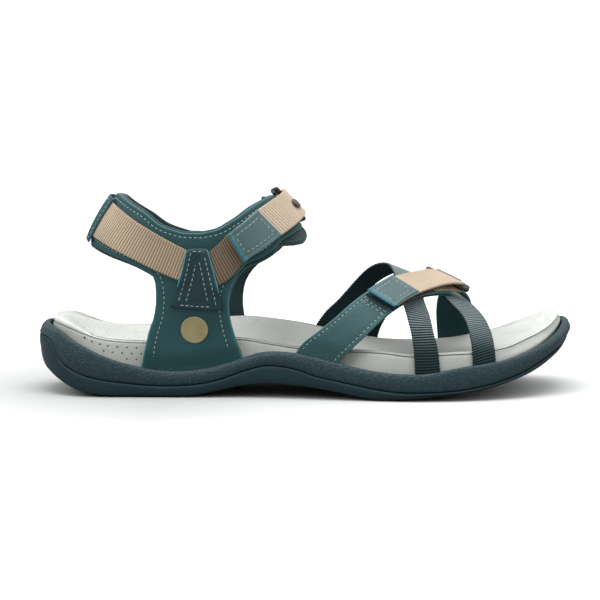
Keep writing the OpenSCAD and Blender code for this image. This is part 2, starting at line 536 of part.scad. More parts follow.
outsole();
midsole();
insole_board();
footbed();
footbed_cover();
lateral_quarter();
lateral_lining();
medial_quarter();
medial_lining();
heel_webbing();
heel_back_cover();
lateral_keystone();
medial_keystone();
instep_base_webbing();
instep_loop_strip();
instep_medial_webbing();
instep_ring();
instep_ring_keeper();
instep_tail();
instep_hook_patch();
instep_tab();
instep_badge();
side_badge();
front_lateral_strap();
front_strap_lining();
front_loop_strip();
front_base_webbing();
front_medial_anchor();
front_ring();
front_ring_keeper();
front_tail();
front_hook_patch();
front_tab();
cross_webbing_rear();
cross_webbing_front();
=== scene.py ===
"""A strap sandal for the right foot, drawn in millimetres over CAD pieces in metres.

The toe points to +X, the lateral (outer) side is -Y, the medial side +Y, the ground z = 0.
The design measures x from the back of the heel, the frame from the heel contact face.
"""
import math
import random
from bisect import bisect_right
from math import cos, pi, sin

import bmesh
import bpy
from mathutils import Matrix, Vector
from mathutils.geometry import delaunay_2d_cdt


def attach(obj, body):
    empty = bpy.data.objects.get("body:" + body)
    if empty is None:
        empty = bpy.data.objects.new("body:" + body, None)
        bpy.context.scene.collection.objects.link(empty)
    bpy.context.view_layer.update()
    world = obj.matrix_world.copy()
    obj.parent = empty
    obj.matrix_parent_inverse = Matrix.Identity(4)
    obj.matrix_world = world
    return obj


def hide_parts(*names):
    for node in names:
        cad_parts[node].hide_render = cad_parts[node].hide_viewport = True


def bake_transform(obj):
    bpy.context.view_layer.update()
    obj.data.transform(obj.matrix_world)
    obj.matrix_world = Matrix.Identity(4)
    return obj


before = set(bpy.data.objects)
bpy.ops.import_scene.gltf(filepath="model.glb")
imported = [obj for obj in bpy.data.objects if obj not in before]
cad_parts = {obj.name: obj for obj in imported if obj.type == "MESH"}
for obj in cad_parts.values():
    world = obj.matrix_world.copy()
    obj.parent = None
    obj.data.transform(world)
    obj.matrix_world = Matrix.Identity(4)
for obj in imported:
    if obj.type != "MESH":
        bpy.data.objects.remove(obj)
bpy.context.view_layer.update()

random.seed(7)

HEEL_X = 58.0         # the frame's origin in design x
LENGTH = 260.0        # of the sole
TIP_Y = 12.0          # y of the toe's tip
SLOT_INSET = 5.7      # of the straps' feet from the sole's outline
RIB_PITCH = 1.3       # of the ribs in the webbing
STITCH_PITCH, STITCH_LENGTH = 2.45, 1.75
STITCH_RADIUS, STITCH_SINK = 0.22, 0.06


# ---------------------------------------------------------------- numbers and curves
def lerp(a, b, t):
    return a + (b - a) * t


def between(a, b, t):
    return (lerp(a[0], b[0], t), lerp(a[1], b[1], t))


def clamp(value, low, high):
    return min(max(value, low), high)


def smoothstep(t):
    t = clamp(t, 0.0, 1.0)
    return t * t * (3 - 2 * t)


def bell(d, width):
    return math.exp(-(d / width) ** 2)


def pairs(*flat):
    """A table of (a, b) rows from a flat list of numbers."""
    return list(zip(flat[::2], flat[1::2]))


def table_value(table, x):
    """Smooth interpolation in a table of (x, value)."""
    if x <= table[0][0]:
        return table[0][1]
    if x >= table[-1][0]:
        return table[-1][1]
    i = 0
    while x > table[i + 1][0]:
        i += 1

    def slope(j, k):
        return (table[k][1] - table[j][1]) / (table[k][0] - table[j][0])
    width = table[i + 1][0] - table[i][0]
    t = (x - table[i][0]) / width
    start = slope(max(i - 1, 0), i + 1)
    end = slope(i, min(i + 2, len(table) - 1))
    return ((2*t**3 - 3*t*t + 1) * table[i][1] + (t**3 - 2*t*t + t) * width * start
            + (3*t*t - 2*t**3) * table[i + 1][1] + (t**3 - t*t) * width * end)


class Sampled:
    """A function sampled once at an even step, for speed."""
    def __init__(self, function, low=-4.0, high=264.0, step=0.25):
        self.low, self.step = low, step
        self.count = int((high - low) / step)
        self.values = [function(low + i * step) for i in range(self.count + 2)]

    def __call__(self, x):
        f = clamp((x - self.low) / self.step, 0.0, self.count - 0.001)
        i = int(f)
        f -= i
        return self.values[i] * (1 - f) + self.values[i + 1] * f


def profile(*flat, **span):
    table = pairs(*flat)
    return Sampled(lambda x: table_value(table, x), **span)


def curve_at(points, t):
    """The point at share t of a Catmull-Rom curve through 2D points."""
    last = len(points) - 1
    s = clamp(t * last, 0, last - 1e-6)
    i = int(s)
    f = s - i
    b, c = points[i], points[i + 1]
    a = points[i - 1] if i > 0 else [2*b[j] - c[j] for j in (0, 1)]
    d = points[i + 2] if i < last - 1 else [2*c[j] - b[j] for j in (0, 1)]
    return tuple(0.5 * (2*b[j] + (c[j] - a[j])*f + (2*a[j] - 5*b[j] + 4*c[j] - d[j])*f*f
                        + (3*b[j] - a[j] - 3*c[j] + d[j])*f**3) for j in (0, 1))


def sample(curve, count, start=0, end=1):
    return [curve_at(curve, lerp(start, end, i / count)) for i in range(count + 1)]


def part(edges, start, end, count=30):
    """A stretch of a strap given by its two edge curves."""
    return [sample(edge, count, start, end) for edge in edges]


def mirrored(points):
    return [(-p[0], p[1]) for p in points]


def loop(edge, other):
    return list(edge) + list(reversed(other))


# ---------------------------------------------------------------- sole curves
# distance of the sole's sides from the centre line: x, y
LATERAL_WIDTH = pairs(0,33, 36,33.5, 60,34, 100,35.5, 140,42, 170,47, 190,48.5, 260,48.5)
MEDIAL_WIDTH = pairs(0,32, 60,31.5, 100,30.5, 130,32.5, 160,40, 185,45, 205,47, 260,47)


def rounded_end(t, power):
    return (1 - (1 - clamp(t, 0.0, 1.0)) ** power) ** (1 / power)


def side_y(widths, sign, toe, x):
    """y of one side of the sole; toe is the length over which it curves in to the tip."""
    y = sign * table_value(widths, x) * rounded_end(x / 36, 2.2)
    if x > LENGTH - toe:
        y = TIP_Y + (y - TIP_Y) * rounded_end((LENGTH - x) / toe, 2.4)
    return y


def lateral_y(x):
    return side_y(LATERAL_WIDTH, -1, 85, x)


def medial_y(x):
    return side_y(MEDIAL_WIDTH, 1, 58, x)


# heights along the sole: x, z
BOTTOM = pairs(
    0,17.5, 3,12.4, 6,9.8, 11,6.4, 18.5,2.9, 25,1.2, 33,0.3, 42,0, 74,0, 88,2.6, 100,5.3,
    114,6.5, 130,5.4, 146,2.9, 162,0, 176,0, 192,1.6, 208,3.2, 224,6.4, 240,11.4, 254,18.8,
    260,23.8)
bottom_z = Sampled(lambda x: max(0, table_value(BOTTOM, x)))
joint_z = profile(    # between outsole and midsole
    0,28, 7,26, 12,17, 19,12, 28,9, 40,7, 60,5.4, 77,6, 89,8.4, 103,13.4, 112,15.5, 124,14.4,
    135,11, 148,8.3, 166,4.9, 180,3.9, 208,5.5, 232,11.4, 250,20.2, 260,27.4)
lateral_rim_z = profile(
    0,33.4, 6,32, 12,29.9, 19,26.2, 31,20.6, 43,16.3, 58,13.2, 72,12.7, 86,14.7, 100,19,
    108,21.6, 116,22.4, 128,21.4, 146,17.4, 164,13.7, 185,12.8, 205,15.9, 225,18.5, 241,23,
    254,29.2, 260,33.4)
medial_rim_z = profile(
    0,33.4, 6,32, 12,30, 19,27, 31,21.6, 43,17.8, 60,16, 78,17.6, 94,21.8, 108,25.2,
    118,25.3, 134,22, 150,17.4, 166,14, 185,13, 205,15.6, 225,20.6, 241,25.4, 254,30.6,
    260,33.4)
lateral_bed_z = profile(
    0,37.4, 7,36.2, 13,34.4, 20,31.6, 30,28.1, 44,26.4, 62,26.2, 80,26.9, 98,27.9, 112,25.9,
    124,24.2, 145,23.2, 165,22.6, 181,21.1, 200,22, 216,22.6, 232,24.8, 246,29.4, 254,33.6,
    260,37.6)
medial_bed_z = profile(
    0,37.4, 7,36.8, 13,35.5, 20,33, 28,30.6, 38,28.9, 52,28.6, 70,30, 85,32, 100,33,
    113,31.9, 128,29.5, 145,25, 166,20.6, 186,19.3, 204,20, 219,22.9, 230,25.5, 240,29,
    250,33, 256,35.8, 260,37.6)


def core_z(x):
    return min(bottom_z(x) + 3, joint_z(x) - 0.4)


def floor_z(x):
    """The floor inside the midsole's rim."""
    return min(bottom_z(x) + 7, min(lateral_rim_z(x), medial_rim_z(x)) - 3.2)


def dish(x):
    return lerp(4.6, 1.6, smoothstep((x - 60) / 70))


# ---------------------------------------------------------------- surfaces for the straps
crown_z = profile(110,92, 120,84, 131,77, 140,72.5, 155,66, 169,60, 182,54.8, 195,49.5,
                  210,42.5, 222,36.5, 232,31)
lateral_slot_y = Sampled(lambda x: lateral_y(x) + SLOT_INSET)
medial_slot_y = Sampled(lambda x: medial_y(x) - SLOT_INSET)
ankle_half_width = profile(10,31.5, 45,31.2, 60,31, 75,30.5, 90,29.5, 105,28.5,
                           low=0, high=120)


def forefoot_point(at):
    """at is (x, degrees over the foot from the lateral side)."""
    x, rise = at[0], sin(math.radians(at[1]))
    a, b = lateral_slot_y(x), medial_slot_y(x)
    base = (lateral_rim_z(x) + medial_rim_z(x)) / 2 - 3.4
    y = (a + b) / 2 - (b - a) / 2 * cos(math.radians(at[1])) + 8 * rise * rise
    return Vector((x, y, base + (crown_z(x) - base) * rise))


def ankle_point(at):
    """at is (degrees round from the front, positive on the lateral side; z)."""
    angle, z = math.radians(at[0]), at[1]
    back = 29.4 + (z - 72.6) * 0.328 + 0.0085 * max(z - 68, 0) ** 2
    front = 113.8 + (90.3 - z) * 0.956
    x = (front + back) / 2 + (front - back) / 2 * cos(angle)
    # the lower part runs into the slot in the sole
    slot_y = lateral_slot_y if sin(angle) > 0 else medial_slot_y
    y = lerp(-ankle_half_width(z) * sin(angle), slot_y(x), smoothstep((48 - z) / 22))
    return Vector((x, y, z))


class Surface:
    """point maps two coordinates to space; scale makes them roughly millimetres."""
    def __init__(self, point, scale, sign):
        self.point, self.scale, self.sign = point, scale, sign

    def normal(self, at):
        a, b = at
        e = 0.3
        u = self.point((a + e, b)) - self.point((a - e, b))
        v = self.point((a, b + e)) - self.point((a, b - e))
        return (u.cross(v) * self.sign).normalized()


FOREFOOT = Surface(forefoot_point, (1.0, 0.72), 1)
ANKLE = Surface(ankle_point, (0.6, 1.0), -1)


def above_rim(p):
    """0 down in the sole's slot, 1 well above the rim."""
    rim = lateral_rim_z(p.x) if p.y < 0 else medial_rim_z(p.x)
    return smoothstep((p.z - rim - 0.3) / 9)


def middle(surface, edges, t):
    return surface.point(between(curve_at(edges[0], t), curve_at(edges[1], t), 0.5))


# ---------------------------------------------------------------- mesh helpers
def to_m(p):
    return ((p[0] - HEEL_X) * 0.001, p[1] * 0.001, p[2] * 0.001)


def add_mesh(name, verts, faces, mat, body="root", replaces=None, st=None, edge=None,
             smooth=True):
    """st holds (along, across, extra) for the weave, edge how worn or cut each vertex is."""
    mesh = bpy.data.meshes.new(name)
    mesh.from_pydata([to_m(p) for p in verts], [], faces)
    mesh.validate()
    mesh.update()
    if smooth:
        mesh.polygons.foreach_set("use_smooth", [True] * len(mesh.polygons))
    if st:
        coords = mesh.attributes.new("st", "FLOAT_VECTOR", "POINT")
        coords.data.foreach_set("vector", [value for row in st for value in row])
        wear = mesh.attributes.new("edge", "FLOAT", "POINT")
        wear.data.foreach_set("value", edge)
    obj = bpy.data.objects.new(name, mesh)
    bpy.context.collection.objects.link(obj)
    mesh.materials.append(mat)
    bm = bmesh.new()
    bm.from_mesh(mesh)
    bmesh.ops.recalc_face_normals(bm, faces=bm.faces)
    bm.to_mesh(mesh)
    bm.free()
    if body:
        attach(obj, body)
    if replaces:
        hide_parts(replaces)
    return obj


def slab_faces(rows, columns):
    """Faces of a closed slab: one grid of vertices, then its other side in the same order."""
    other = rows * columns
    faces = []
    for i in range(rows - 1):
        for j in range(columns - 1):
            a = i * columns + j
            b = other + a
            faces.append((a, a + 1, a + columns + 1, a + columns))
            faces.append((b, b + columns, b + columns + 1, b + 1))
    for i in range(rows - 1):
        for a in (i * columns, (i + 1) * columns - 1):
            faces.append((a, a + columns, other + a + columns, other + a))
    for j in range(columns - 1):
        for a in (j, other - columns + j):
            faces.append((a, a + 1, other + a + 1, other + a))
    return faces


def edge_round(d, radius, least=0.06):
    """Share of the full thickness at distance d from a rounded edge."""
    if d >= radius:
        return 1.0
    return max(least, math.sqrt(max(0, 1 - (1 - d / radius) ** 2)))


def edge_wear(d, cut):
    return 1.0 if d < cut else 0.45 * math.exp(-d / 0.9)


def sheet_at(surface, at, low, heights, thickness):
    """Surface point, normal, lower and upper height of a sheet thinned to a share."""
    base = surface.point(at)
    clear = above_rim(base)
    under, over = lerp(low[0], heights[0], clear), lerp(low[1], heights[1], clear)
    mid, half = (under + over) / 2, (over - under) / 2 * thickness
    return base, surface.normal(at), mid - half, mid + half


class Path:
    """A polyline of vectors, looked up by distance from its start."""
    def __init__(self, points):
        self.marks = [0.0]
        for a, b in zip(points, points[1:]):
            self.marks.append(self.marks[-1] + (b - a).length)
        self.length = self.marks[-1]

    def locate(self, s):
        s = clamp(s, 0, self.length)
        i = min(bisect_right(self.marks, s), len(self.marks) - 1) - 1
        return i, (s - self.marks[i]) / max(self.marks[i + 1] - self.marks[i], 1e-9)


SLOT_HEIGHTS = (0.15, 1.15)     # under and top side of a sheet down in the sole's slot


def ribbon(name, surface, edges, heights, mat, slot, replaces=None, body="root",
           low=SLOT_HEIGHTS, step=1.5, across=9, corner=0.5, rib=0.0, jag=0.0, lift=None,
           groove=None, start_cut=0.0):
    """A strap between two edge curves, with rounded sides, and woven ribs if asked.

    heights and low are its under and top side above the rim and in the slot; jag waves the
    edges, lift(share) raises the strap, groove is the inset of a pressed line.
    """
    count = 160
    path = Path([middle(surface, edges, i / count) for i in range(count + 1)])
    length = path.length
    if rib:
        step = RIB_PITCH / 6
    steps = max(8, int(length / step))
    rim = [0.0, corner * 0.12, corner * 0.4, corner]
    even = [length * i / steps for i in range(steps + 1)]
    inner = [s for s in even if corner * 1.3 < s < length - corner * 1.3]
    stations = sorted({*rim, *inner, *(length - r for r in rim)})
    upper, lower, st, wear = [], [], [], []
    for s in stations:
        i, f = path.locate(s)
        t = (i + f) / count
        a, b = (curve_at(edge, t) for edge in edges)
        width = max((surface.point(b) - surface.point(a)).length, 1.0)
        inset = corner * 2.2
        offsets = rim + [lerp(inset, width - inset, j / across) for j in range(across + 1)]
        offsets += [width - r for r in reversed(rim)]
        if groove:
            offsets += [g + d for g in (groove, width - groove) for d in (-0.5, 0, 0.5)]
            offsets.sort()
        rise = lift(t) if lift else 0.0
        raised = (heights[0] + rise, heights[1] + rise)
        wave = cos(2 * pi * s / RIB_PITCH)
        for d in offsets:
            f = d / width
            if jag and (d < 1 or d > width - 1):
                f += (f - 0.5) * 2 * jag / width * wave
            depth = min(d, width - d, s, length - s)
            thick = edge_round(depth, corner)
            base, normal, under, top = sheet_at(surface, between(a, b, f), low, raised, thick)
            top += rib * wave * (smoothstep(depth) * 0.75 + 0.25) * thick
            if groove:
                top -= 0.16 * bell(min(abs(d - groove), abs(width - d - groove)), 0.45)
            upper.append(base + normal * top)
            lower.append(base + normal * under)
            st.append((s, d, width))
            wear.append(1.0 if s < start_cut else edge_wear(depth, corner * 0.7))
    faces = slab_faces(len(stations), len(offsets))
    return add_mesh(name, upper + lower, faces, mat, body, replaces, st * 2, wear * 2)


class Outline:
    """A closed outline in a surface's coordinates, resampled and measured in millimetres."""
    CELL = 5.0

    def __init__(self, corners, scale, step=0.9):
        self.scale, self.points = scale, []
        for a, b in zip(corners, corners[1:] + corners[:1]):
            d = math.hypot((b[0] - a[0]) * scale[0], (b[1] - a[1]) * scale[1])
            count = max(1, int(round(d / step)))
            self.points += [between(a, b, j / count) for j in range(count)]
        self.flat = [self.flatten(p) for p in self.points]
        self.sides = list(zip(self.flat, self.flat[1:] + self.flat[:1]))
        self.grid = {}
        for a, b in self.sides:
            for x in self.cells(a[0], b[0]):
                for y in self.cells(a[1], b[1]):
                    self.grid.setdefault((x, y), []).append((a, b))

    def flatten(self, at):
        return (at[0] * self.scale[0], at[1] * self.scale[1])

    def cells(self, a, b):
        return range(int(min(a, b) // self.CELL) - 1, int(max(a, b) // self.CELL) + 2)

    def distance(self, x, y):
        """Distance to the outline, at most one cell."""
        best = self.CELL ** 2
        for a, b in self.grid.get((int(x // self.CELL), int(y // self.CELL)), ()):
            dx, dy = b[0] - a[0], b[1] - a[1]
            square = dx * dx + dy * dy
            t = 0
            if square:
                t = clamp(((x - a[0]) * dx + (y - a[1]) * dy) / square, 0, 1)
            best = min(best, (x - a[0] - t * dx) ** 2 + (y - a[1] - t * dy) ** 2)
        return math.sqrt(best)

    def inside(self, x, y):
        crossed = False
        for (xj, yj), (xi, yi) in self.sides:
            if (yi > y) != (yj > y) and x < (xj - xi) * (y - yi) / (yj - yi) + xi:
                crossed = not crossed
        return crossed

    def clears(self, at, least):
        x, y = self.flatten(at)
        return self.distance(x, y) > least and self.inside(x, y)

    def inset(self, d):
        """The outline's points moved in by d."""
        flat = self.flat
        count = len(flat)
        turn = 1 if sum(a[0] * b[1] - b[0] * a[1] for a, b in self.sides) > 0 else -1
        moved = []
        for i in range(count):
            a, b = flat[i - 1], flat[(i + 1) % count]
            dx, dy = b[0] - a[0], b[1] - a[1]
            size = math.hypot(dx, dy) or 1
            moved.append(((flat[i][0] - turn * dy / size * d) / self.scale[0],
                          (flat[i][1] + turn * dx / size * d) / self.scale[1]))
        return moved


def panel(name, surface, corners, under, over, mat, replaces, rings, low=SLOT_HEIGHTS,
          corner=0.5, step=2.0, wear_at=lambda at: 1.0):
    """A sheet of leather or padding; under and over take (distance to the edge, point)."""
    outline = Outline(corners, surface.scale)
    points = list(outline.points)
    depths = [0.0] * len(points)
    for d in sorted({corner * 0.12, corner * 0.45, corner, *rings}):
        for at in outline.inset(d)[::1 if d < 1.5 else 2]:
            if outline.clears(at, d * 0.93):
                points.append(at)
                depths.append(d)
    # staggered rows of points fill the middle
    xs, ys = zip(*outline.flat)
    y, row = min(ys), 0
    while y < max(ys):
        x = min(xs) + (step / 2 if row % 2 else 0)
        while x < max(xs):
            d = outline.distance(x, y)
            if d > max(rings) + step * 0.45 and outline.inside(x, y):
                points.append((x / surface.scale[0], y / surface.scale[1]))
                depths.append(d)
            x += step
        y += step * 0.866
        row += 1
    flat = [Vector(outline.flatten(at)) for at in points]
    border = [list(range(len(outline.points)))]
    spots, _, triangles, origins, _, _ = delaunay_2d_cdt(flat, [], border, 1, 1e-5, True)
    upper, lower, st, wear = [], [], [], []
    for spot, origin in zip(spots, origins):
        d = depths[origin[0]] if origin else 0.0
        at = (spot.x / surface.scale[0], spot.y / surface.scale[1])
        base, normal, bottom, top = sheet_at(surface, at, low, (under(d, at), over(d, at)),
                                             edge_round(d, corner))
        upper.append(base + normal * top)
        lower.append(base + normal * bottom)
        st.append((spot.x, spot.y, d))
        wear.append(edge_wear(d, corner * 0.75) * wear_at(at))
    other = len(upper)
    faces, uses = [], {}
    for tri in triangles:
        if not outline.inside(sum(spots[i].x for i in tri) / 3, sum(spots[i].y for i in tri) / 3):
            continue
        faces.append(tuple(tri))
        faces.append(tuple(other + i for i in reversed(tri)))
        for a, b in zip(tri, [*tri[1:], tri[0]]):
            uses.setdefault((min(a, b), max(a, b)), []).append((a, b))
    for used in uses.values():
        if len(used) == 1:
            a, b = used[0]
            faces.append((b, a, other + a, other + b))
    add_mesh(name, upper + lower, faces, mat, "root", replaces, st * 2, wear * 2)


# ---------------------------------------------------------------- stitches
# share of the length, share of the radius, sink in 1.6 radii
STITCH_PROFILE = [(0.0, 0.0, -0.28), (0.06, 0.62, -0.12), (0.2, 0.95, 0.0), (0.5, 1.05, 0.06),
                  (0.8, 0.95, 0.0), (0.94, 0.62, -0.12), (1.0, 0.0, -0.28)]


def thread(name, points, normals, body):
    """A row of stitches, with needle holes between them drawn as dark cones of painted shade."""
    path = Path(points)
    sides, hole_sides = 7, 8
    verts, faces = [], []

    def frame_at(s):
        i, f = path.locate(s)
        p = points[i].lerp(points[i + 1], f)
        n = normals[i].lerp(normals[i + 1], f).normalized()
        i, f = path.locate(s + 0.05)
        tangent = (points[i].lerp(points[i + 1], f) - p).normalized()
        return p, n, tangent, tangent.cross(n).normalized()

    s = 0.5
    while s + STITCH_LENGTH < path.length:
        first = len(verts)
        for share, radius, sink in STITCH_PROFILE:
            p, n, _, side = frame_at(s + share * STITCH_LENGTH)
            r = STITCH_RADIUS
            centre = p + n * (r * 0.62 - STITCH_SINK + sink * r * 1.6)
            if radius == 0:
                verts.append(centre)
                continue
            for j in range(sides):
                a = 2 * pi * j / sides
                verts.append(centre + side * (cos(a) * r * radius)
                             + n * (sin(a) * r * radius * 0.85))
        base = first + 1
        last = base + 5 * sides
        for j in range(sides):
            faces.append((first, base + j, base + (j + 1) % sides))
        for a in range(base, last - sides, sides):
            for j in range(sides):
                k = (j + 1) % sides
                faces.append((a + j, a + sides + j, a + sides + k, a + k))
        for j in range(sides):
            faces.append((last - sides + j, last, last - sides + (j + 1) % sides))
        s += STITCH_PITCH
    if not verts:    # the line is too short for a stitch
        return
    stitch_faces = len(faces)
    s = 0.5 + STITCH_LENGTH + (STITCH_PITCH - STITCH_LENGTH) / 2
    while s + STITCH_LENGTH < path.length:
        p, n, tangent, side = frame_at(s)
        b = len(verts)
        verts.append(p + n * 0.05)
        for j in range(hole_sides):
            a = 2 * pi * j / hole_sides
            verts.append(p + n * 0.015 + tangent * (cos(a) * 0.36) + side * (sin(a) * 0.3))
        verts.append(p - n * 0.2)
        for j in range(hole_sides):
            k = (j + 1) % hole_sides
            faces.append((b, b + 1 + j, b + 1 + k))
            faces.append((b + 1 + hole_sides, b + 1 + k, b + 1 + j))
        s += STITCH_PITCH
    mesh = add_mesh(name, verts, faces, THREAD, body).data
    mesh.materials.append(NEEDLE_HOLE)
    for i in range(stitch_faces, len(mesh.polygons)):
        mesh.polygons[i].material_index = 1


def stitch_on(name, surface, path, height, body="root", low=1.15):
    """Stitches along surface coordinates; height is a number or a function of the point."""
    points, normals = [], []
    for at in path:
        p, n = surface.point(at), surface.normal(at)
        h = height(at) if callable(height) else lerp(low, height, above_rim(p))
        points.append(p + n * h)
        normals.append(n)
    thread(name, points, normals, body)


def seam(name, surface, corners, inset, height, body="root",
         keep=lambda at: True):
    """Rows of stitches at an inset within an outline, where keep() allows."""
    outline = Outline(corners, surface.scale)
    runs = [[]]
    for at in outline.inset(inset):
        inside = outline.clears(at, inset * 0.95) and keep(at)
        if inside and above_rim(surface.point(at)) > 0.3:
            runs[-1].append(at)
        else:
            runs.append([])
    for j, run in enumerate(run for run in runs if len(run) > 6):
        stitch_on(f"{name}_{j}", surface, run, height, body)


# ---------------------------------------------------------------- materials
def srgb(color, dim=1.0):
    """Linear RGBA of an sRGB colour given in 0-255, dimmed first."""
    shares = [c * dim / 255 for c in color]
    return (*(c / 12.92 if c <= 0.04045 else ((c + 0.055) / 1.055) ** 2.4 for c in shares), 1.0)


class Nodes:
    """A builder for shader nodes."""
    def __init__(self, tree):
        self.nodes, self.link = tree.nodes, tree.links.new
        self.coords = self.node("TexCoord").outputs

    def node(self, kind):
        return self.nodes.new("ShaderNode" + kind)

    def put(self, socket, value):
        if hasattr(value, "is_output"):
            self.link(value, socket)
        else:
            socket.default_value = value

    def split(self, vector):
        node = self.node("SeparateXYZ")
        self.link(vector, node.inputs[0])
        return node.outputs

    def remap(self, value, source, target=(0, 1)):
        node = self.node("MapRange")
        self.put(node.inputs["Value"], value)
        for key, x in zip(("From Min", "From Max", "To Min", "To Max"), (*source, *target)):
            node.inputs[key].default_value = x
        return node.outputs["Result"]


class Shader(Nodes):
    """A principled material; lengths are metres, or millimetres in the "st" attribute."""
    def __init__(self, name, rough, metal=0.0, spec=0.4, sheen=0.0, coat=0.0):
        self.material = bpy.data.materials.new(name)
        self.material.use_nodes = True
        super().__init__(self.material.node_tree)
        self.inputs = self.nodes["Principled BSDF"].inputs
        for key, value in (("Roughness", rough), ("Metallic", metal),
                           ("Specular IOR Level", spec), ("Sheen Weight", sheen),
                           ("Sheen Roughness", 0.5), ("Coat Weight", coat)):
            self.inputs[key].default_value = value
        self.normal = None

    def noise(self, scale, detail=3.0, vector=None):
        node = self.node("TexNoise")
        for key, value in (("Scale", scale), ("Detail", detail), ("Roughness", 0.55)):
            node.inputs[key].default_value = value
        self.link(vector or self.coords["Object"], node.inputs["Vector"])
        return node.outputs["Fac"]

    def cells(self, scale, feature="F1"):
        node = self.node("TexVoronoi")
        node.feature = feature
        node.inputs["Scale"].default_value = scale
        self.link(self.coords["Object"], node.inputs["Vector"])
        return node.outputs["Distance"]

    def math(self, operation, a, b=0.0):
        node = self.node("Math")
        node.operation = operation
        self.put(node.inputs[0], a)
        self.put(node.inputs[1], b)
        return node.outputs[0]

    def attribute(self, name, output="Fac"):
        node = self.node("Attribute")
        node.attribute_name = name
        return node.outputs[output]

    def mix(self, factor, a, b):
        node = self.node("Mix")
        node.data_type = "RGBA"
        for index, value in ((0, factor), (6, a), (7, b)):
            self.put(node.inputs[index], value)
        return node.outputs[2]

    def bump(self, height, distance, strength=1.0):
        """Add a layer of relief over the ones before."""
        node = self.node("Bump")
        node.inputs["Strength"].default_value = strength
        node.inputs["Distance"].default_value = distance
        self.link(height, node.inputs["Height"])
        if self.normal:
            self.link(self.normal, node.inputs["Normal"])
        self.normal = node.outputs["Normal"]
        self.link(self.normal, self.inputs["Normal"])

    def color(self, value):
        self.put(self.inputs["Base Color"], value)

    def rough(self, texture, base, less, more):
        """Roughness that follows a texture, from base - less to base + more."""
        value = self.remap(texture, (0.3, 0.7), (base - less, base + more))
        self.put(self.inputs["Roughness"], value)


def leather(name, dark, light, cut, rough=0.46):
    """Pored leather; cut is the colour of its raw edges."""
    m = Shader(name, rough, spec=0.3, coat=0.03)
    patch = m.noise(38, 4)
    pores = m.cells(1150, "DISTANCE_TO_EDGE")
    fine = m.noise(2600, 2)
    c = m.mix(m.remap(patch, (0.3, 0.72)), srgb(dark), srgb(light))
    c = m.mix(m.remap(pores, (0.0, 0.09), (0.28, 0.0)), c, srgb(dark, 0.55))
    edge = m.attribute("edge")
    worn = srgb([min(255, q * 1.35 + 12) for q in light])
    c = m.mix(m.math("MULTIPLY", edge, 0.55), c, worn)
    c = m.mix(m.math("GREATER_THAN", edge, 0.72), c,
              m.mix(m.noise(900), srgb(cut), srgb(cut, 0.75)))
    m.color(c)
    gloss = m.math("ADD", m.math("MULTIPLY", patch, 0.6), m.math("MULTIPLY", fine, 0.4))
    m.rough(gloss, rough, 0.08, 0.12)
    m.bump(m.remap(pores, (0.0, 0.12)), distance=0.00007, strength=0.55)
    m.bump(fine, distance=0.00004, strength=0.4)
    m.bump(m.noise(90), distance=0.0004, strength=0.35)
    return m.material


def webbing(name, low, high, rough=0.78, sheen=0.12, spec=0.25, top=None, far=None):
    """Ribbed webbing. top: low and high colour of painted light where it faces up and is high;
    far: x range in metres over which it turns to a darker low and high colour of painted shade."""
    m = Shader(name, rough, spec=spec, sheen=sheen)
    st = m.split(m.attribute("st", "Vector"))
    phase = m.math("DIVIDE", st[0], RIB_PITCH)
    rib = m.math("COSINE", m.math("MULTIPLY", phase, 6.28318))
    rib = m.math("ADD", m.math("MULTIPLY", rib, 0.5), 0.5)
    row = m.math("ROUND", phase)
    # yarns lie side by side, shifted half a yarn from rib to rib
    yarn = m.math("ADD", m.math("DIVIDE", st[1], 0.95), m.math("MULTIPLY", row, 0.5))
    yarn = m.math("ABSOLUTE", m.math("SINE", m.math("MULTIPLY", yarn, 3.14159)))
    fuzz = m.noise(3200, 2)
    fade = m.noise(55, 3)
    t = m.math("ADD", m.math("MULTIPLY", rib, 0.55), m.math("MULTIPLY", yarn, 0.3))
    t = m.math("ADD", t, m.math("MULTIPLY", fuzz, 0.25))

    def weave(low, high):
        return m.mix(m.remap(t, (0.18, 0.9)), srgb(low), srgb(high))
    c = weave(low, high)
    # painted light: lighter where the webbing faces up and stands high, dark low down
    if top:
        up = m.split(m.node("NewGeometry").outputs["Normal"])[2]
        z = m.split(m.coords["Object"])[2]
        painted_light_share = m.math("MULTIPLY", m.remap(up, (0.2, 0.75)),
                        m.remap(z, (0.022, 0.036), (0.06, 1)))
        c = m.mix(painted_light_share, c, weave(*top))
    # painted shade: darker colours take over forward along x
    if far:
        x = m.split(m.coords["Object"])[0]
        c = m.mix(m.remap(x, far[:2]), c, weave(*far[2:]))
    c = m.mix(m.remap(fade, (0.35, 0.75), (0.0, 0.22)), c, srgb(low, 0.8))
    c = m.mix(m.math("MULTIPLY", m.attribute("edge"), 0.35), c, srgb(low))
    m.color(c)
    m.rough(fuzz, rough, 0.08, 0.1)
    relief = m.math("ADD", rib, m.math("MULTIPLY", yarn, 0.6))
    m.bump(m.math("MULTIPLY", relief, 1.0), distance=0.00012, strength=0.6)
    m.bump(fuzz, distance=0.00005, strength=0.4)
    return m.material


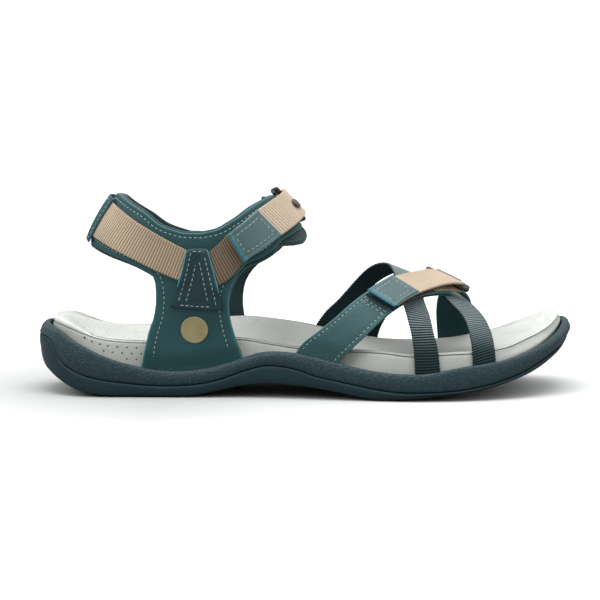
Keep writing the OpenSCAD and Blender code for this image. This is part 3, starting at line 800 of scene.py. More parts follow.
def grainy(name, dark, light, grain, relief, rough=0.7, sheen=0.0, spec=0.3, patch=40,
           cell=True, pit=None, strength=0.6, fleck=None, shade=None):
    """Grain of a given scale and relief. pit: colour of the hollows;
    fleck: colour, scale, threshold, amount; shade: painted shade, x where a darker zone starts
    and is full, x where it begins to end and ends, amount, colour."""
    m = Shader(name, rough, spec=spec, sheen=sheen)
    g = m.cells(grain) if cell else m.noise(grain, 3)
    patches = m.noise(patch, 4)
    fine = m.noise(grain * 2.3, 2)
    c = m.mix(m.remap(patches, (0.3, 0.72)), srgb(dark), srgb(light))
    c = m.mix(m.remap(g, (0.1, 0.75), (0.0, 0.3)), c, srgb(pit) if pit else srgb(dark, 0.62))
    if fleck:
        color, scale, threshold, amount = fleck
        spots = m.remap(m.noise(scale, 1.0), (threshold, threshold + 0.07), (0.0, amount))
        c = m.mix(spots, c, srgb(color))
    if shade:
        # painted shade: a darker band along x
        x = m.split(m.coords["Object"])[0]
        painted_shade_zone = m.math("MULTIPLY", m.remap(x, shade[:2]), m.remap(x, shade[2:4], (1, 0)))
        c = m.mix(m.math("MULTIPLY", painted_shade_zone, shade[4]), c, srgb(shade[5]))
    m.color(c)
    m.rough(fine, rough, 0.07, 0.1)
    m.bump(g, relief, strength)
    m.bump(fine, relief * 0.4, 0.4)
    return m.material


def metal(name, color, rough):
    m = Shader(name, rough, metal=1.0, spec=0.5)
    mapping = m.node("Mapping")
    mapping.inputs["Scale"].default_value = (300, 2400, 2400)    # brushed along x
    m.link(m.coords["Object"], mapping.inputs["Vector"])
    brushed = m.noise(1.0, 2, vector=mapping.outputs["Vector"])
    patches = m.noise(240)
    m.color(m.mix(m.remap(patches, (0.3, 0.7)), srgb(color), srgb(color, 0.82)))
    m.rough(brushed, rough, 0.08, 0.14)
    m.bump(brushed, distance=0.00002, strength=0.5)
    return m.material


def printed(name, dark, light, rough, metallic=0.0):
    m = Shader(name, rough, metal=metallic)
    patches = m.noise(120, 4)
    fine = m.noise(2400, 2)
    m.color(m.mix(m.remap(patches, (0.3, 0.7)), srgb(dark), srgb(light)))
    m.rough(fine, rough, 0.08, 0.1)
    m.bump(fine, distance=0.00004, strength=0.4)
    m.bump(patches, distance=0.0001, strength=0.3)
    return m.material


OUTSOLE = grainy("outsole_rubber", (17, 44, 51), (24, 54, 60), grain=1500, relief=0.00005,
                 rough=0.5, patch=26)
# fleck: light specks of painted highlight on the stippled foam
MIDSOLE = grainy("midsole_foam", (15, 41, 49), (23, 53, 60), grain=950, relief=0.00022,
                 rough=0.5, spec=0.4, patch=30, strength=1.0, pit=(12, 34, 40),
                 fleck=((76, 110, 112), 2000, 0.6, 0.45))
BOARD = grainy("pressed_board", (150, 130, 98), (176, 156, 120), grain=700, relief=0.00008,
               rough=0.9, patch=120, cell=False)
FOAM = grainy("footbed_foam", (160, 164, 159), (178, 181, 176), grain=800, relief=0.00012,
              rough=0.8, patch=60, cell=False, pit=(134, 139, 135),
              fleck=((132, 136, 131), 1300, 0.57, 0.3))
# shade: painted shade on the footbed under the straps, full from x 0.062 to 0.138 m
SUEDE = grainy("footbed_suede", (210, 212, 207), (224, 225, 221), grain=1500, relief=0.00022,
               rough=0.95, sheen=0.1, spec=0.05, patch=70, cell=False, pit=(168, 171, 166),
               strength=1.0, fleck=((150, 153, 149), 1100, 0.56, 0.35),
               shade=(0.022, 0.062, 0.138, 0.2, 0.8, (134, 137, 133)))
LEATHER = leather("teal_leather", (24, 61, 64), (33, 75, 78), cut=(58, 122, 122))
DARK_LEATHER = leather("teal_leather_dark", (19, 47, 53), (26, 57, 63), cut=(64, 160, 174))
FRONT_LEATHER = leather("teal_leather_front", (40, 73, 76), (52, 88, 91), cut=(66, 128, 128),
                        rough=0.42)
TAB_LEATHER = leather("grey_teal_leather", (58, 82, 84), (80, 104, 106), cut=(48, 122, 134),
                      rough=0.42)
ANCHOR_LEATHER = leather("anchor_leather", (14, 54, 58), (22, 66, 70), cut=(24, 70, 74))
KNIT = grainy("padded_knit", (19, 44, 47), (28, 56, 59), grain=1400, relief=0.00018,
              rough=0.85, sheen=0.3, spec=0.2, patch=50, strength=0.9)
# far: painted shade, darker towards the keystones and on the medial and front webs
TAN_WEB = webbing("tan_webbing", (124, 104, 84), (204, 186, 160),
                  far=(-0.02, 0.024, (92, 76, 60), (172, 152, 128)))
SHADED_WEB = webbing("tan_webbing_shaded", (58, 48, 38), (132, 114, 94))
LIGHT_WEB = webbing("tan_webbing_light", (150, 131, 110), (206, 189, 168))
# top: painted light on the upper faces of the crossing webs
CHARCOAL_WEB = webbing("charcoal_webbing", (10, 25, 29), (34, 52, 55), rough=0.8, sheen=0.0,
                       spec=0.1, top=((46, 60, 62), (138, 150, 152)))
PILE = grainy("closure_pile", (17, 30, 33), (26, 42, 45), grain=1900, relief=0.0003,
              rough=0.95, sheen=0.4, spec=0.1, patch=90, strength=1.0)
THREAD = grainy("stitch_thread", (132, 152, 150), (164, 180, 176), grain=5200,
                relief=0.00005, sheen=0.2, patch=400, cell=False)
# dark discs: painted shade standing in for the inside of the perforations
PERFORATION = grainy("perforation", (84, 90, 88), (98, 104, 101), grain=1500,
                     relief=0.00004, rough=0.9, patch=60, cell=False)
# dark cones: painted shade standing in for the inside of the needle holes
NEEDLE_HOLE = grainy("needle_hole", (7, 20, 24), (12, 28, 32), grain=1500, relief=0.00004,
                     rough=0.9, patch=60, cell=False)
# metal of the rings, darkened beyond a bright metal as painted shade inside the folds
RING_METAL = metal("ring_wire", (78, 77, 74), rough=0.34)
GOLD = printed("badge_gold", (142, 132, 94), (162, 151, 110), rough=0.45, metallic=0.25)
BADGE = printed("badge_dark", (66, 60, 58), (82, 75, 72), rough=0.4)

# ---------------------------------------------------------------- sole
# the outline runs up the lateral side from heel (0) to toe (STEPS) and back by the medial
STEPS = 230
STATIONS = [0.45 * LENGTH * i / STEPS + 0.55 * LENGTH / 2 * (1 - cos(pi * i / STEPS))
            for i in range(STEPS + 1)]
OUTLINE = [(STATIONS[0], 0.0), *((x, lateral_y(x)) for x in STATIONS[1:-1]),
           (STATIONS[-1], TIP_Y), *((x, medial_y(x)) for x in STATIONS[-2:0:-1])]
AROUND = len(OUTLINE)


def inward(i):
    a, b = OUTLINE[(i - 2) % AROUND], OUTLINE[(i + 2) % AROUND]
    dx, dy = b[0] - a[0], b[1] - a[1]
    size = math.hypot(dx, dy)
    return (-dy / size, dx / size)


INWARD = [inward(i) for i in range(AROUND)]


def inset_point(i, d):
    return (OUTLINE[i][0] + INWARD[i][0] * d, OUTLINE[i][1] + INWARD[i][1] * d)


def ring(inset, height):
    """The outline moved in; inset is a number or a function of x, height takes (i, x)."""
    points = []
    for i, (x, _) in enumerate(OUTLINE):
        d = inset(x) if callable(inset) else inset
        points.append((*inset_point(i, d), height(i, x)))
    return points


def by_side(lateral, medial):
    return lambda i, x: lateral(x) if i <= STEPS else medial(x)


rim_z = by_side(lateral_rim_z, medial_rim_z)
bed_z = by_side(lateral_bed_z, medial_bed_z)


def above(curve, rise):
    return lambda i, x: curve(x) + rise


def toe_blend(behind, toe):
    return lambda x: lerp(behind, toe, smoothstep((x - 228) / 16))


def lean(side, heel, toe):
    """An inset that changes towards the heel and the toe."""
    def inset(x):
        if x < 130:
            return lerp(side, heel, smoothstep((22 - x) / 20))
        return lerp(side, toe, smoothstep((x - 238) / 20))
    return inset


def loft(name, rings, mat, replaces, bottom=None):
    """Stacked rings with both ends closed; bottom(x, y, cells from the edge) shapes the
    first end as a grid."""
    verts = [p for points in rings for p in points]
    faces = []
    for k in range(0, (len(rings) - 1) * AROUND, AROUND):
        for i in range(AROUND):
            a, b = k + i, k + (i + 1) % AROUND
            faces.append((a, b, b + AROUND, a + AROUND))

    def close(o):
        faces.append((o, o + 1, o + AROUND - 1))
        faces.append((o + STEPS - 1, o + STEPS, o + STEPS + 1))
        for i in range(1, STEPS - 1):
            faces.append((o + i, o + i + 1, o + AROUND - i - 1, o + AROUND - i))

    def close_with_grid(across=44):
        rows = []
        for i in range(1, STEPS):
            a, b = verts[i], verts[AROUND - i]
            row = [i]
            for j in range(1, across):
                x, y = between(a, b, j / across)
                z = bottom(x, y, min(j, across - j, i, STEPS - i))
                row.append(len(verts))
                verts.append((x, y, lerp(a[2], b[2], j / across) if z is None else z))
            rows.append(row + [AROUND - i])
        for a, b in zip(rows, rows[1:]):
            for j in range(across):
                faces.append((a[j], b[j], b[j + 1], a[j + 1]))
        for j in range(across):
            faces.append((0, rows[0][j], rows[0][j + 1]))
            faces.append((STEPS, rows[-1][j + 1], rows[-1][j]))

    if bottom:
        close_with_grid()
    else:
        close(0)
    close((len(rings) - 1) * AROUND)
    add_mesh(name, verts, faces, mat, replaces=replaces)


def tread(x, y, cells):
    """Chevron grooves and two lengthwise ones; None next to the edge."""
    if cells < 2:
        return None
    off = abs(y - (lateral_y(x) + medial_y(x)) / 2)
    pitch = 10.5
    u = (x + 0.55 * off) / pitch
    chevron = abs(u - math.floor(u) - 0.5) * pitch
    depth = max(1 - smoothstep((d - 0.7) / 1.1) for d in (chevron, abs(off - 13)))
    return bottom_z(x) + 1.2 * depth * smoothstep((cells - 1) / 2)


def build_outsole():
    def low(rise, drop):
        return lambda i, x: min(bottom_z(x) + rise, joint_z(x) - drop)

    def wall(share):
        return lambda i, x: lerp(bottom_z(x), joint_z(x), share)
    rings = [ring(d, above(bottom_z, rise)) for d, rise in ((4.6, 0), (3.6, 0.04), (2.6, 0.2))]
    rings += [ring(1.7, low(0.6, 1.4)), ring(0.9, low(1.3, 1)),
              ring(0.6, lambda i, x: lerp(low(1.4, 1)(i, x), joint_z(x), 0.28)),
              ring(0.2, wall(0.62)), ring(0.15, wall(0.84))]
    for inset, drop in ((0.25, 0.62), (0.5, 0.3), (1.0, 0.12), (3.0, 0.1)):
        rings.append(ring(inset, above(joint_z, -drop)))
    rings.append(ring(4.6, above(core_z, 0)))
    loft("sole_outsole", rings, OUTSOLE, "outsole", bottom=tread)


# inset at the side, heel and toe; then height share from joint to rim, or drop from the rim
MIDSOLE_WALL = [(-0.1, 0.5, -0.7, 0.2), (-0.45, 0.9, -1.35, 0.42), (-0.3, 1.5, -1.2, 0.64),
                (0.0, 2.2, -0.7, 0.82)]
MIDSOLE_LIP = [(0.25, 2.6, -0.3, 0.95), (0.5, 2.9, 0.1, 0.4), (1.0, 3.4, 0.6, 0.08),
               (1.6, 3.9, 1.4, 0), (2.4, 4.7, 2.4, 0.04), (2.95, 5.2, 2.95, 0.35),
               (3.2, 5.4, 3.2, 0.9)]


def build_midsole():
    rings = [ring(5.0, above(core_z, 0.3))]
    for inset, rise in ((3.4, 0.12), (1.1, 0.1), (0.55, 0.3), (0.2, 0.8)):
        rings.append(ring(inset, above(joint_z, rise)))
    for *inset, share in MIDSOLE_WALL:
        rings.append(ring(lean(*inset), lambda i, x: lerp(joint_z(x), rim_z(i, x), share)))
    for *inset, drop in MIDSOLE_LIP:
        rings.append(ring(lean(*inset), lambda i, x: rim_z(i, x) - drop))
    rings.append(ring(3.25, above(floor_z, 0)))
    loft("sole_midsole", rings, MIDSOLE, "midsole")


def foam_edge(rise=0):
    return lambda i, x: bed_z(i, x) - 1.2 - 2.3 * smoothstep((34 - x) / 26) + rise


def core(share, rise):
    """A ring of the dished top, drawn in by a share towards the middle line."""
    points = []
    for i, (x, _) in enumerate(OUTLINE):
        spine = clamp(x, 34, 226)
        x, y = between(inset_point(i, 8), (spine, (lateral_y(spine) + medial_y(spine)) / 2),
                       share)
        z = lerp(bed_z(i, x), min(lateral_bed_z(x), medial_bed_z(x)), smoothstep(share * 1.3))
        points.append((x, y, z - 1.2 - dish(x) * smoothstep(share * 1.6) + rise))
    return points


def build_footbed():
    board = ((6.5, 0.1), (6.2, 0.3), (6.2, 1.3), (6.5, 1.5))    # inset, rise
    loft("sole_board", [ring(inset, above(floor_z, rise)) for inset, rise in board],
         BOARD, "insole_board")
    shares = (0.05, 0.1, 0.16, 0.24, 0.34, 0.46, 0.6, 0.75, 0.9)
    edge = lean(9.0, 7.8, 5.2)
    foam_foot = toe_blend(3, 2.6)
    rings = [
        ring(6.2, above(floor_z, 1.6)),
        ring(toe_blend(6.25, 3.8), lambda i, x: floor_z(x) + foam_foot(x)),
        ring(toe_blend(6.3, 3.7), above(floor_z, 4)),
        ring(toe_blend(7.3, 4.0),
             lambda i, x: lerp(floor_z(x) + 4, foam_edge(-1.6)(i, x), 0.55)),
        ring(lean(8.1, 6.9, 4.4), foam_edge(-1.6)),
        ring(lean(8.5, 7.3, 4.7), foam_edge(-0.6)),
        ring(edge, foam_edge())]
    loft("sole_footbed", rings + [core(k, 0) for k in shares], FOAM, "footbed")

    def lip(rise, drop, share):
        return lambda i, x: lerp(foam_edge(rise)(i, x), bed_z(i, x) - drop, share)
    rings = [core(k, 0.15) for k in reversed(shares)]
    rings += [ring(edge, foam_edge(0.15)),
              ring(lean(8.75, 7.3, 4.9), foam_edge(0.22)),
              ring(lean(8.7, 7.0, 4.9), foam_edge(0.6)),
              ring(lean(9.0, 7.5, 5.2), lip(0.78, 0.9, 0.6)),
              ring(lean(9.7, 8.6, 5.9), lip(1.08, 0.15, 0.9))]
    loft("sole_cover", rings + [core(k, 1.3) for k in shares], SUEDE,
         "footbed_cover")


def perforations(name, side, inward_sign, bed, rim, sides=12):
    """Staggered rows of round dark dots, painted shade for the holes, on the footbed's wall near
    the heel.
    """
    verts, faces = [], []
    up = Vector((0, 0, 1))
    for row in range(5):
        for column in range(9):
            x = 21.5 + column * 4.6 + (row % 2) * 2.3
            top = bed(x) - 3.6
            z = top - row * 2.7
            if z < rim(x) + 1.0 or x > 56:
                continue
            tangent = Vector((1, side(x + 0.5) - side(x - 0.5), 0)).normalized()
            into = Vector((-tangent.y, tangent.x, 0)) * inward_sign
            low = floor_z(x) + 4
            u = clamp((z - low) / max(top + 0.8 - low, 1), 0, 1)
            inset = lerp(6.3, 7.3, u / 0.55) if u < 0.55 else lerp(7.3, 8.1, (u - 0.55) / 0.45)
            centre = Vector((x, side(x), z)) + into * inset
            b = len(verts)
            for radius, depth in ((0.52, 0.35), (0.52, -0.02), (0.4, -0.05)):
                for j in range(sides):
                    a = 2 * pi * j / sides
                    verts.append(centre + tangent * (cos(a) * radius) + up * (sin(a) * radius)
                                 + into * depth)
            for a in (b, b + sides):
                for j in range(sides):
                    k = (j + 1) % sides
                    faces.append((a + j, a + k, a + sides + k, a + sides + j))
            faces.append(tuple(range(b, b + sides)))
            faces.append(tuple(range(b + 2 * sides, b + 3 * sides)))
    add_mesh(name, verts, faces, PERFORATION, smooth=False)


build_outsole()
build_midsole()
build_footbed()
perforations("footbed_perforations_lateral", lateral_y, 1, lateral_bed_z, lateral_rim_z)
perforations("footbed_perforations_medial", medial_y, -1, medial_bed_z, medial_rim_z)

# ---------------------------------------------------------------- strap kinds
BASE_WEB = (4.05, 5.2)      # under and top side of the webbing that lies on the quarters


def web(name, surface, edges, heights, mat, replaces=None, jag=0.1, **more):
    return ribbon(name, surface, edges, heights, mat, "tan_webbing", replaces, rib=0.11,
                  across=7, jag=jag, **more)


def tape(name, surface, edges, heights, replaces, body="root"):
    ribbon(name, surface, edges, heights, PILE, "closure_pile", replaces, body, corner=0.25)


def pull_tab(place, surface, edges, heights, groove):
    """The leather tab over a strap's tail, with a seam in its groove."""
    body, slot = place + "_strap", "grey_teal_leather"
    ribbon(place + "_pull_tab", surface, edges, heights, TAB_LEATHER, slot, place + "_tab",
           body, corner=0.4, step=1.0, start_cut=1.3, groove=groove)
    seam(place + "_tab_stitch", surface, loop(*edges), groove, heights[1] - 0.14, body)


def blend_along(obj, surface, edges, start):
    """Bake a piece's placement into its mesh; the ends at share start and 1 are worked out but
    unused.
    """
    ends = [to_m(middle(surface, edges, t)) for t in (start, 1.0)]
    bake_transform(obj)


# ---------------------------------------------------------------- ankle pieces
# curves on the ankle: degrees from the front, z
QUARTER_REAR = pairs(179.6,71, 160,69.8, 134.4,65.2, 122.1,61.5, 115.8,57.5, 114.9,48.5,
                     116.3,39, 119.5,28.8, 122.4,11)
LATERAL_FRONT = pairs(87.5,14, 87.4,33.2, 85.7,44.9, 81.1,53.9, 72.2,62.6, 61.2,65.9,
                      50,69.6, 41.9,72.8, 24,75.6, -3,77.6)
LATERAL_TOP_REAR = pairs(179.6,93.5, 154.8,93.2, 125.6,88.2, 110.5,81.9, 98,78.6)
LATERAL_TOP_FRONT = pairs(88,78.3, 78,79.9, 68.2,83.1, 47.7,89, 24,92, -3,92.4)
MEDIAL_FRONT = pairs(85,15, 84.5,33, 82,44, 77,52.6, 69,59.4, 60,63.4, 50,67.6, 42,71.2,
                     34,73.8, 27,75.4)
MEDIAL_TOP_REAR = pairs(179.6,93.5, 154.8,92.2, 125.6,84.8, 110.5,77.8, 98,74)
MEDIAL_TOP_FRONT = pairs(88,73.6, 78,74.9, 68.2,77.8, 55,82.4, 40,87.8, 27,91.4)


def joined(rear, front):
    """Two curves with a straight line between them."""
    line = [between(rear[-1], front[0], i / 6) for i in range(1, 6)]
    return sample(rear, 22) + line + sample(front, 22)


def grown(edge, other, d, bulge):
    """An edge moved away from the other, and further by bulge near the front."""
    moved = []
    for p, q in zip(edge, other):
        dx, dy = p[0] - q[0], p[1] - q[1]
        size = math.hypot(dx, dy)
        push = d * smoothstep((p[1] - 22) / 12)
        push += bulge * max(0, sin(pi * clamp((44 - p[0]) / 44, 0, 1)))
        moved.append((p[0] + dx / size * push, p[1] + dy / size * push))
    return moved


def unchanged(points):
    return points


def pad_height(d, at):
    return 2.3 + 0.95 * bell(d - 0.95, 0.75) if d < 3 else 2.3


def build_quarter(side, low, up, place, bulge):
    lining = place(loop(grown(low, up, 2, bulge), grown(up, low, 0.8, 0)))
    panel(side + "_padded_lining", ANKLE, lining, lambda d, at: 0.3, pad_height, KNIT,
          side + "_lining", rings=(1.4, 2.0, 2.8), corner=0.95, step=2.4)
    outline = place(loop(low, up))
    seam_inset = 2.2
    panel(side + "_quarter_leather", ANKLE, outline, lambda d, at: 2.6,
          lambda d, at: 3.8 - 0.2 * bell(d - seam_inset, 0.5), LEATHER,
          side + "_quarter", rings=(1.2, 1.7, 2.2, 2.7, 3.4), corner=0.45, step=2.4,
          low=(1.3, 1.95))
    seam(side + "_quarter_stitch", ANKLE, outline, seam_inset, 3.62)


build_quarter("lateral", joined(QUARTER_REAR, LATERAL_FRONT),
              joined(LATERAL_TOP_REAR, LATERAL_TOP_FRONT), unchanged, bulge=4)
build_quarter("medial", joined(QUARTER_REAR, MEDIAL_FRONT),
              joined(MEDIAL_TOP_REAR, MEDIAL_TOP_FRONT), mirrored, bulge=1)

# lower and upper edge of the heel band on each side, up to the back of the heel
HEEL_BAND_LATERAL = (pairs(103,55.8, 115,61, 130,66.9, 150,71.6, 165,73.4, 180,74),
                     pairs(95,69.6, 107,75.4, 121,81, 140,86.4, 160,89.4, 180,90.4))
HEEL_BAND_MEDIAL = (pairs(103,53.6, 115,58.8, 130,65.4, 150,71.2, 165,73.2, 180,74),
                    pairs(95,66.6, 107,72.4, 121,78.6, 140,85, 160,89, 180,90.4))
HEEL_BACK = (pairs(165,70.4, 173,71.3, 180,71.6, 187,71.3, 195,70.4),
             pairs(157,90.7, 168,91.3, 180,91.5, 192,91.3, 203,90.7))


def build_heel():
    band = [lateral + [(360 - p[0], p[1]) for p in reversed(medial[:-1])]
            for lateral, medial in zip(HEEL_BAND_LATERAL, HEEL_BAND_MEDIAL)]
    web("heel_band_webbing", ANKLE, band, BASE_WEB, TAN_WEB, "heel_webbing")
    outline = loop(*part(HEEL_BACK, 0, 1, 24))
    seam_inset = 1.6
    panel("heel_back_leather", ANKLE, outline, lambda d, at: 5.4,
          lambda d, at: 6.4 - 0.15 * bell(d - seam_inset, 0.5), LEATHER,
          "heel_back_cover", rings=(1.1, 1.6, 2.1, 2.8), corner=0.45, wear_at=lambda at: 0.45)
    seam("heel_back_stitch", ANKLE, outline, seam_inset, 6.25)


build_heel()

KEYSTONE_LOW = pairs(109,43.6, 102,43, 95,42.6, 88.4,42.4)
KEYSTONE_TOP_LATERAL = pairs(97,71, 94,71.4, 90,71.4, 86.4,71.2)
KEYSTONE_TOP_MEDIAL = pairs(97,68.6, 94,69, 90,69, 86.4,68.8)


def overlap(at):
    """How far the keystone lies over the heel band behind it or the web in front."""
    a, z = abs(at[0]), at[1]
    band = lerp(103, 95, (z - 55.8) / 13.8)
    behind = smoothstep((a - band + 5) / 5) * smoothstep((z - 51.5) / 4)
    ahead = smoothstep((95 - a) / 5) * smoothstep((z - 48.5) / 4)
    return max(behind, ahead) * (1 - 0.75 * smoothstep((z - 69.4) / 2.2))


def build_keystone(side, top, place):
    outline = place(loop(sample(KEYSTONE_LOW, 12), sample(top, 12)))
    seams = (1.5, 3.3)

    def under(d, at):
        return 3.95 + 1.35 * overlap(at)

    def over(d, at):
        return under(d, at) + 1.05 - 0.16 * sum(bell(d - inset, 0.45) for inset in seams)
    panel(side + "_keystone_leather", ANKLE, outline, under, over, DARK_LEATHER,
          side + "_keystone", rings=(1.0, 1.5, 2.0, 2.6, 3.3, 3.9),
          corner=0.4, step=1.6,
          wear_at=lambda at: 1.0 if overlap(at) > 0.3 and at[1] < 70.6 else 0.0)
    for j, inset in enumerate(seams):
        seam(f"{side}_keystone_stitch_{j}", ANKLE, outline, inset,
             lambda at: under(0, at) + 0.92, keep=lambda at: j == 0 or at[1] < 65.5)


build_keystone("lateral", KEYSTONE_TOP_LATERAL, unchanged)
build_keystone("medial", KEYSTONE_TOP_MEDIAL, mirrored)


# ---------------------------------------------------------------- straps round the rings
class RingFrame:
    """Axes at a ring: x along the bars, y from keeper bar to tail bar, z across both.

    start and end are (surface point, height) of the bars, bar_ends two points along them.
    """
    def __init__(self, surface, start, end, bar_ends, shift):
        first, last = (surface.point(at) + surface.normal(at) * h for at, h in (start, end))
        a, b = (surface.point(at) for at in bar_ends)
        self.x = (b - a).normalized()
        gap = last - first
        gap = gap - self.x * gap.dot(self.x)
        self.y = gap.normalized()
        self.z = self.x.cross(self.y)
        self.length = gap.length
        self.origin = first + self.x * shift

    def place(self, x, y, z):
        return self.origin + self.x * x + self.y * y + self.z * z


def sweep(name, ring_frame, path, thick, x0, x1, mat, replaces=None, body=None, rib=0.0):
    """A strip bent along (y, z) points in a ring's frame, thick to the left of the path."""
    corner = 0.4
    xs = [x0, x0 + 0.06, x0 + 0.35, *(lerp(x0 + 0.9, x1 - 0.9, j / 8) for j in range(9)),
          x1 - 0.35, x1 - 0.06, x1]
    inner, outer, st, wear = [], [], [], []
    s = 0.0
    for i, p in enumerate(path):
        if i:
            s += math.dist(path[i - 1], p)
        a, b = path[max(i - 1, 0)], path[min(i + 1, len(path) - 1)]
        dx, dy = b[0] - a[0], b[1] - a[1]
        size = math.hypot(dx, dy)
        ny, nz = -dy / size, dx / size
        for x in xs:
            d = min(x - x0, x1 - x)
            share = edge_round(d, corner, least=0.15)
            near = thick * (0.5 - 0.5 * share)
            far = thick * (0.5 + 0.5 * share) + rib * cos(2 * pi * s / RIB_PITCH) * share
            for side, t in ((inner, near), (outer, far)):
                side.append(ring_frame.place(x, p[0] + ny * t, p[1] + nz * t))
            st.append((s, x - x0, x1 - x0))
            wear.append(edge_wear(d, 0.1))
    faces = slab_faces(len(path), len(xs))
    return add_mesh(name, inner + outer, faces, mat, body, replaces, st * 2, wear * 2)


def keeper(place, ring_frame, plate, up):
    """A leather loop round the keeper bar, its two ends together on the strap side."""
    radius, half_width = 1.42, 6.5
    path = [(lerp(-plate, 0, t / 6), -up * radius) for t in range(6)]
    path += [(radius * sin(a * pi / 14), -up * radius * cos(a * pi / 14)) for a in range(15)]
    path += [(lerp(0, -plate * 0.55, t / 6),
              up * lerp(radius, radius * -0.35, smoothstep(t / 6))) for t in range(1, 7)]
    sweep(place + "_keeper_loop", ring_frame, path, -0.8 * up, -half_width, half_width,
          ANCHOR_LEATHER, place + "_ring_keeper", "root")


def fold(place, ring_frame, x0, x1, up):
    """The tail's turn round the far bar, between the ring and the strap."""
    radius, half_gap = 1.5, 1.9
    path = []
    for i in range(25):
        a = -pi / 2 + pi * i / 24
        path.append((ring_frame.length - radius * cos(a), up * radius * sin(a)))
    obj = sweep(place + "_tail_fold", ring_frame, path, 1.1 * up, x0, x1, LIGHT_WEB,
                rib=0.08)
    ends = [to_m(ring_frame.place(0, ring_frame.length, z * up)) for z in (-half_gap, half_gap)]
    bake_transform(obj)


def lozenge(name, at, height, radii, thick, dome, mat, body, replaces, sides=64):
    """A flat oval on the ankle with a raised rim."""
    n = ANKLE.normal(at)
    centre = ANKLE.point(at) + n * height
    along = ANKLE.point((at[0] + 0.5, at[1])) - ANKLE.point((at[0] - 0.5, at[1]))
    u = (along - n * along.dot(n)).normalized()
    v = n.cross(u)
    # share of the radii, share of the thickness
    section = [(1.0, 0.0), (1.0, 0.55), (0.985, 0.85), (0.94, 1), (0.86, 0.93), (0.82, 0.8),
               (0.78, 0.86), (0.6, 0.9 + dome * 0.5), (0.35, 0.92 + dome),
               (0.12, 0.95 + dome * 1.1)]
    verts, faces = [], []
    for r, z in section:
        for j in range(sides):
            a = 2 * pi * j / sides
            verts.append(centre + u * (cos(a) * radii[0] * r) + v * (sin(a) * radii[1] * r)
                         + n * (thick * z))
    last = (len(section) - 1) * sides
    for i in range(0, last, sides):
        for j in range(sides):
            k = (j + 1) % sides
            faces.append((i + j, i + k, i + sides + k, i + sides + j))
    faces.append(tuple(range(sides)))
    faces.append(tuple(range(last, last + sides)))
    add_mesh(name, verts, faces, mat, body, replaces)


# ---------------------------------------------------------------- instep closure
INSTEP = (pairs(89,52.6, 80,57.6, 71,64.5, 60,69, 45,73.8, 30,76.8, 15,78.6, 0,79.6,
                -9.5,79.9),
          pairs(90,67.6, 82,72, 73.2,77.4, 62,82, 50,86, 36,88.6, 18,90.2, 0,90.8, -9.5,91))
INSTEP_MEDIAL = (pairs(89,50.6, 80,55, 71,61.4, 60,65.8, 45,71.6, 30,76.2, 17,78.4),
                 pairs(90,64.6, 82,68.6, 73.2,73.2, 62,77.8, 50,82.6, 36,87.2, 20,89.8))
INSTEP_FRAME = RingFrame(ANKLE, ((-26, 85.5), 7.8), ((-11, 85.5), 6.85),
                         ((-18.5, 80), (-18.5, 91)), shift=-2.4)


def build_instep():
    split = 0.86    # beyond this share the base web is a piece of its own
    web("instep_base_web", ANKLE, part(INSTEP, 0, split, 60), BASE_WEB, SHADED_WEB,
        "instep_base_webbing")
    end = web("instep_base_web_end", ANKLE, part(INSTEP, split, 1, 60), BASE_WEB, SHADED_WEB,
              jag=0.0, body=None, corner=0.3)
    blend_along(end, ANKLE, INSTEP, split + 0.01)
    tape("instep_loop_tape", ANKLE, part(INSTEP, 0.27, 0.8), (5.4, 6.0), "instep_loop_strip")
    tape("instep_hook_tape", ANKLE, part(INSTEP, 0.3, 0.66), (6.2, 6.8), "instep_hook_patch",
         "instep_strap")
    web("instep_tail_web", ANKLE, part(INSTEP, 0.3, 1, 60), (7.0, 8.2), LIGHT_WEB,
        "instep_tail", body="instep_strap", lift=lambda t: 1.55 * smoothstep((t - 0.6) / 0.36))
    pull_tab("instep", ANKLE, part(INSTEP, 0.235, 0.5), (8.4, 9.6), groove=2.2)
    medial = [mirrored(edge) for edge in part(INSTEP_MEDIAL, 0, 1, 40)]
    web("instep_medial_web", ANKLE, medial, BASE_WEB, TAN_WEB, "instep_medial_webbing")
    keeper("instep", INSTEP_FRAME, plate=7, up=1)
    fold("instep", INSTEP_FRAME, -7.5, 7.5, up=1)


build_instep()
lozenge("instep_oval", (6, 84.4), 9.25, radii=(5.0, 2.6), thick=0.7, dome=0.25, mat=BADGE,
        body="instep_strap", replaces="instep_badge")
lozenge("side_disc", (101.3, 32.8), 4.05, radii=(6.5, 6.5), thick=0.45, dome=0.05, mat=GOLD,
        body="root", replaces="side_badge")

# ---------------------------------------------------------------- forefoot
# rear and front edges on the forefoot: x, degrees over from the lateral side
CROSS_REAR = (
    pairs(182.4,-0.5, 181.7,17, 180.4,28.2, 177.9,41.9, 175.2,56, 172.6,78, 169.3,98.6,
          160.8,122.7, 154.2,138.8, 147.6,151.5, 140.4,162, 132.6,176),
    pairs(194.5,-0.5, 193.1,18.2, 191.1,31.1, 189.5,42, 187.3,53, 184.6,74, 180.3,97,
          172.6,118, 165.2,134, 158.4,148, 152.6,160, 148.4,176))
CROSS_FRONT = (
    pairs(209.6,-1, 209.5,16, 208.5,33, 205.8,49, 199.4,61.5, 190.5,77, 183.6,95,
          175.9,114, 168,132, 160.9,148, 154.8,160, 150.6,176),
    pairs(220.9,-1, 220.2,23, 218.8,42.5, 216.2,58, 211.2,72, 203.4,87, 195,104,
          187.2,121, 178.9,139, 172.2,154, 168.2,165, 166.2,176))
FRONT_STRAP = (
    pairs(122.6,-4, 128.6,6, 135.6,13.5, 143.6,22.6, 151.4,33, 159.6,44, 170.6,57,
          179,64.5, 186.5,71.5),
    pairs(141.8,-4, 146.9,4, 152.4,11, 159,19.5, 165.2,28, 172,37.5, 182,49.5, 192.5,60,
          200.6,67.5))
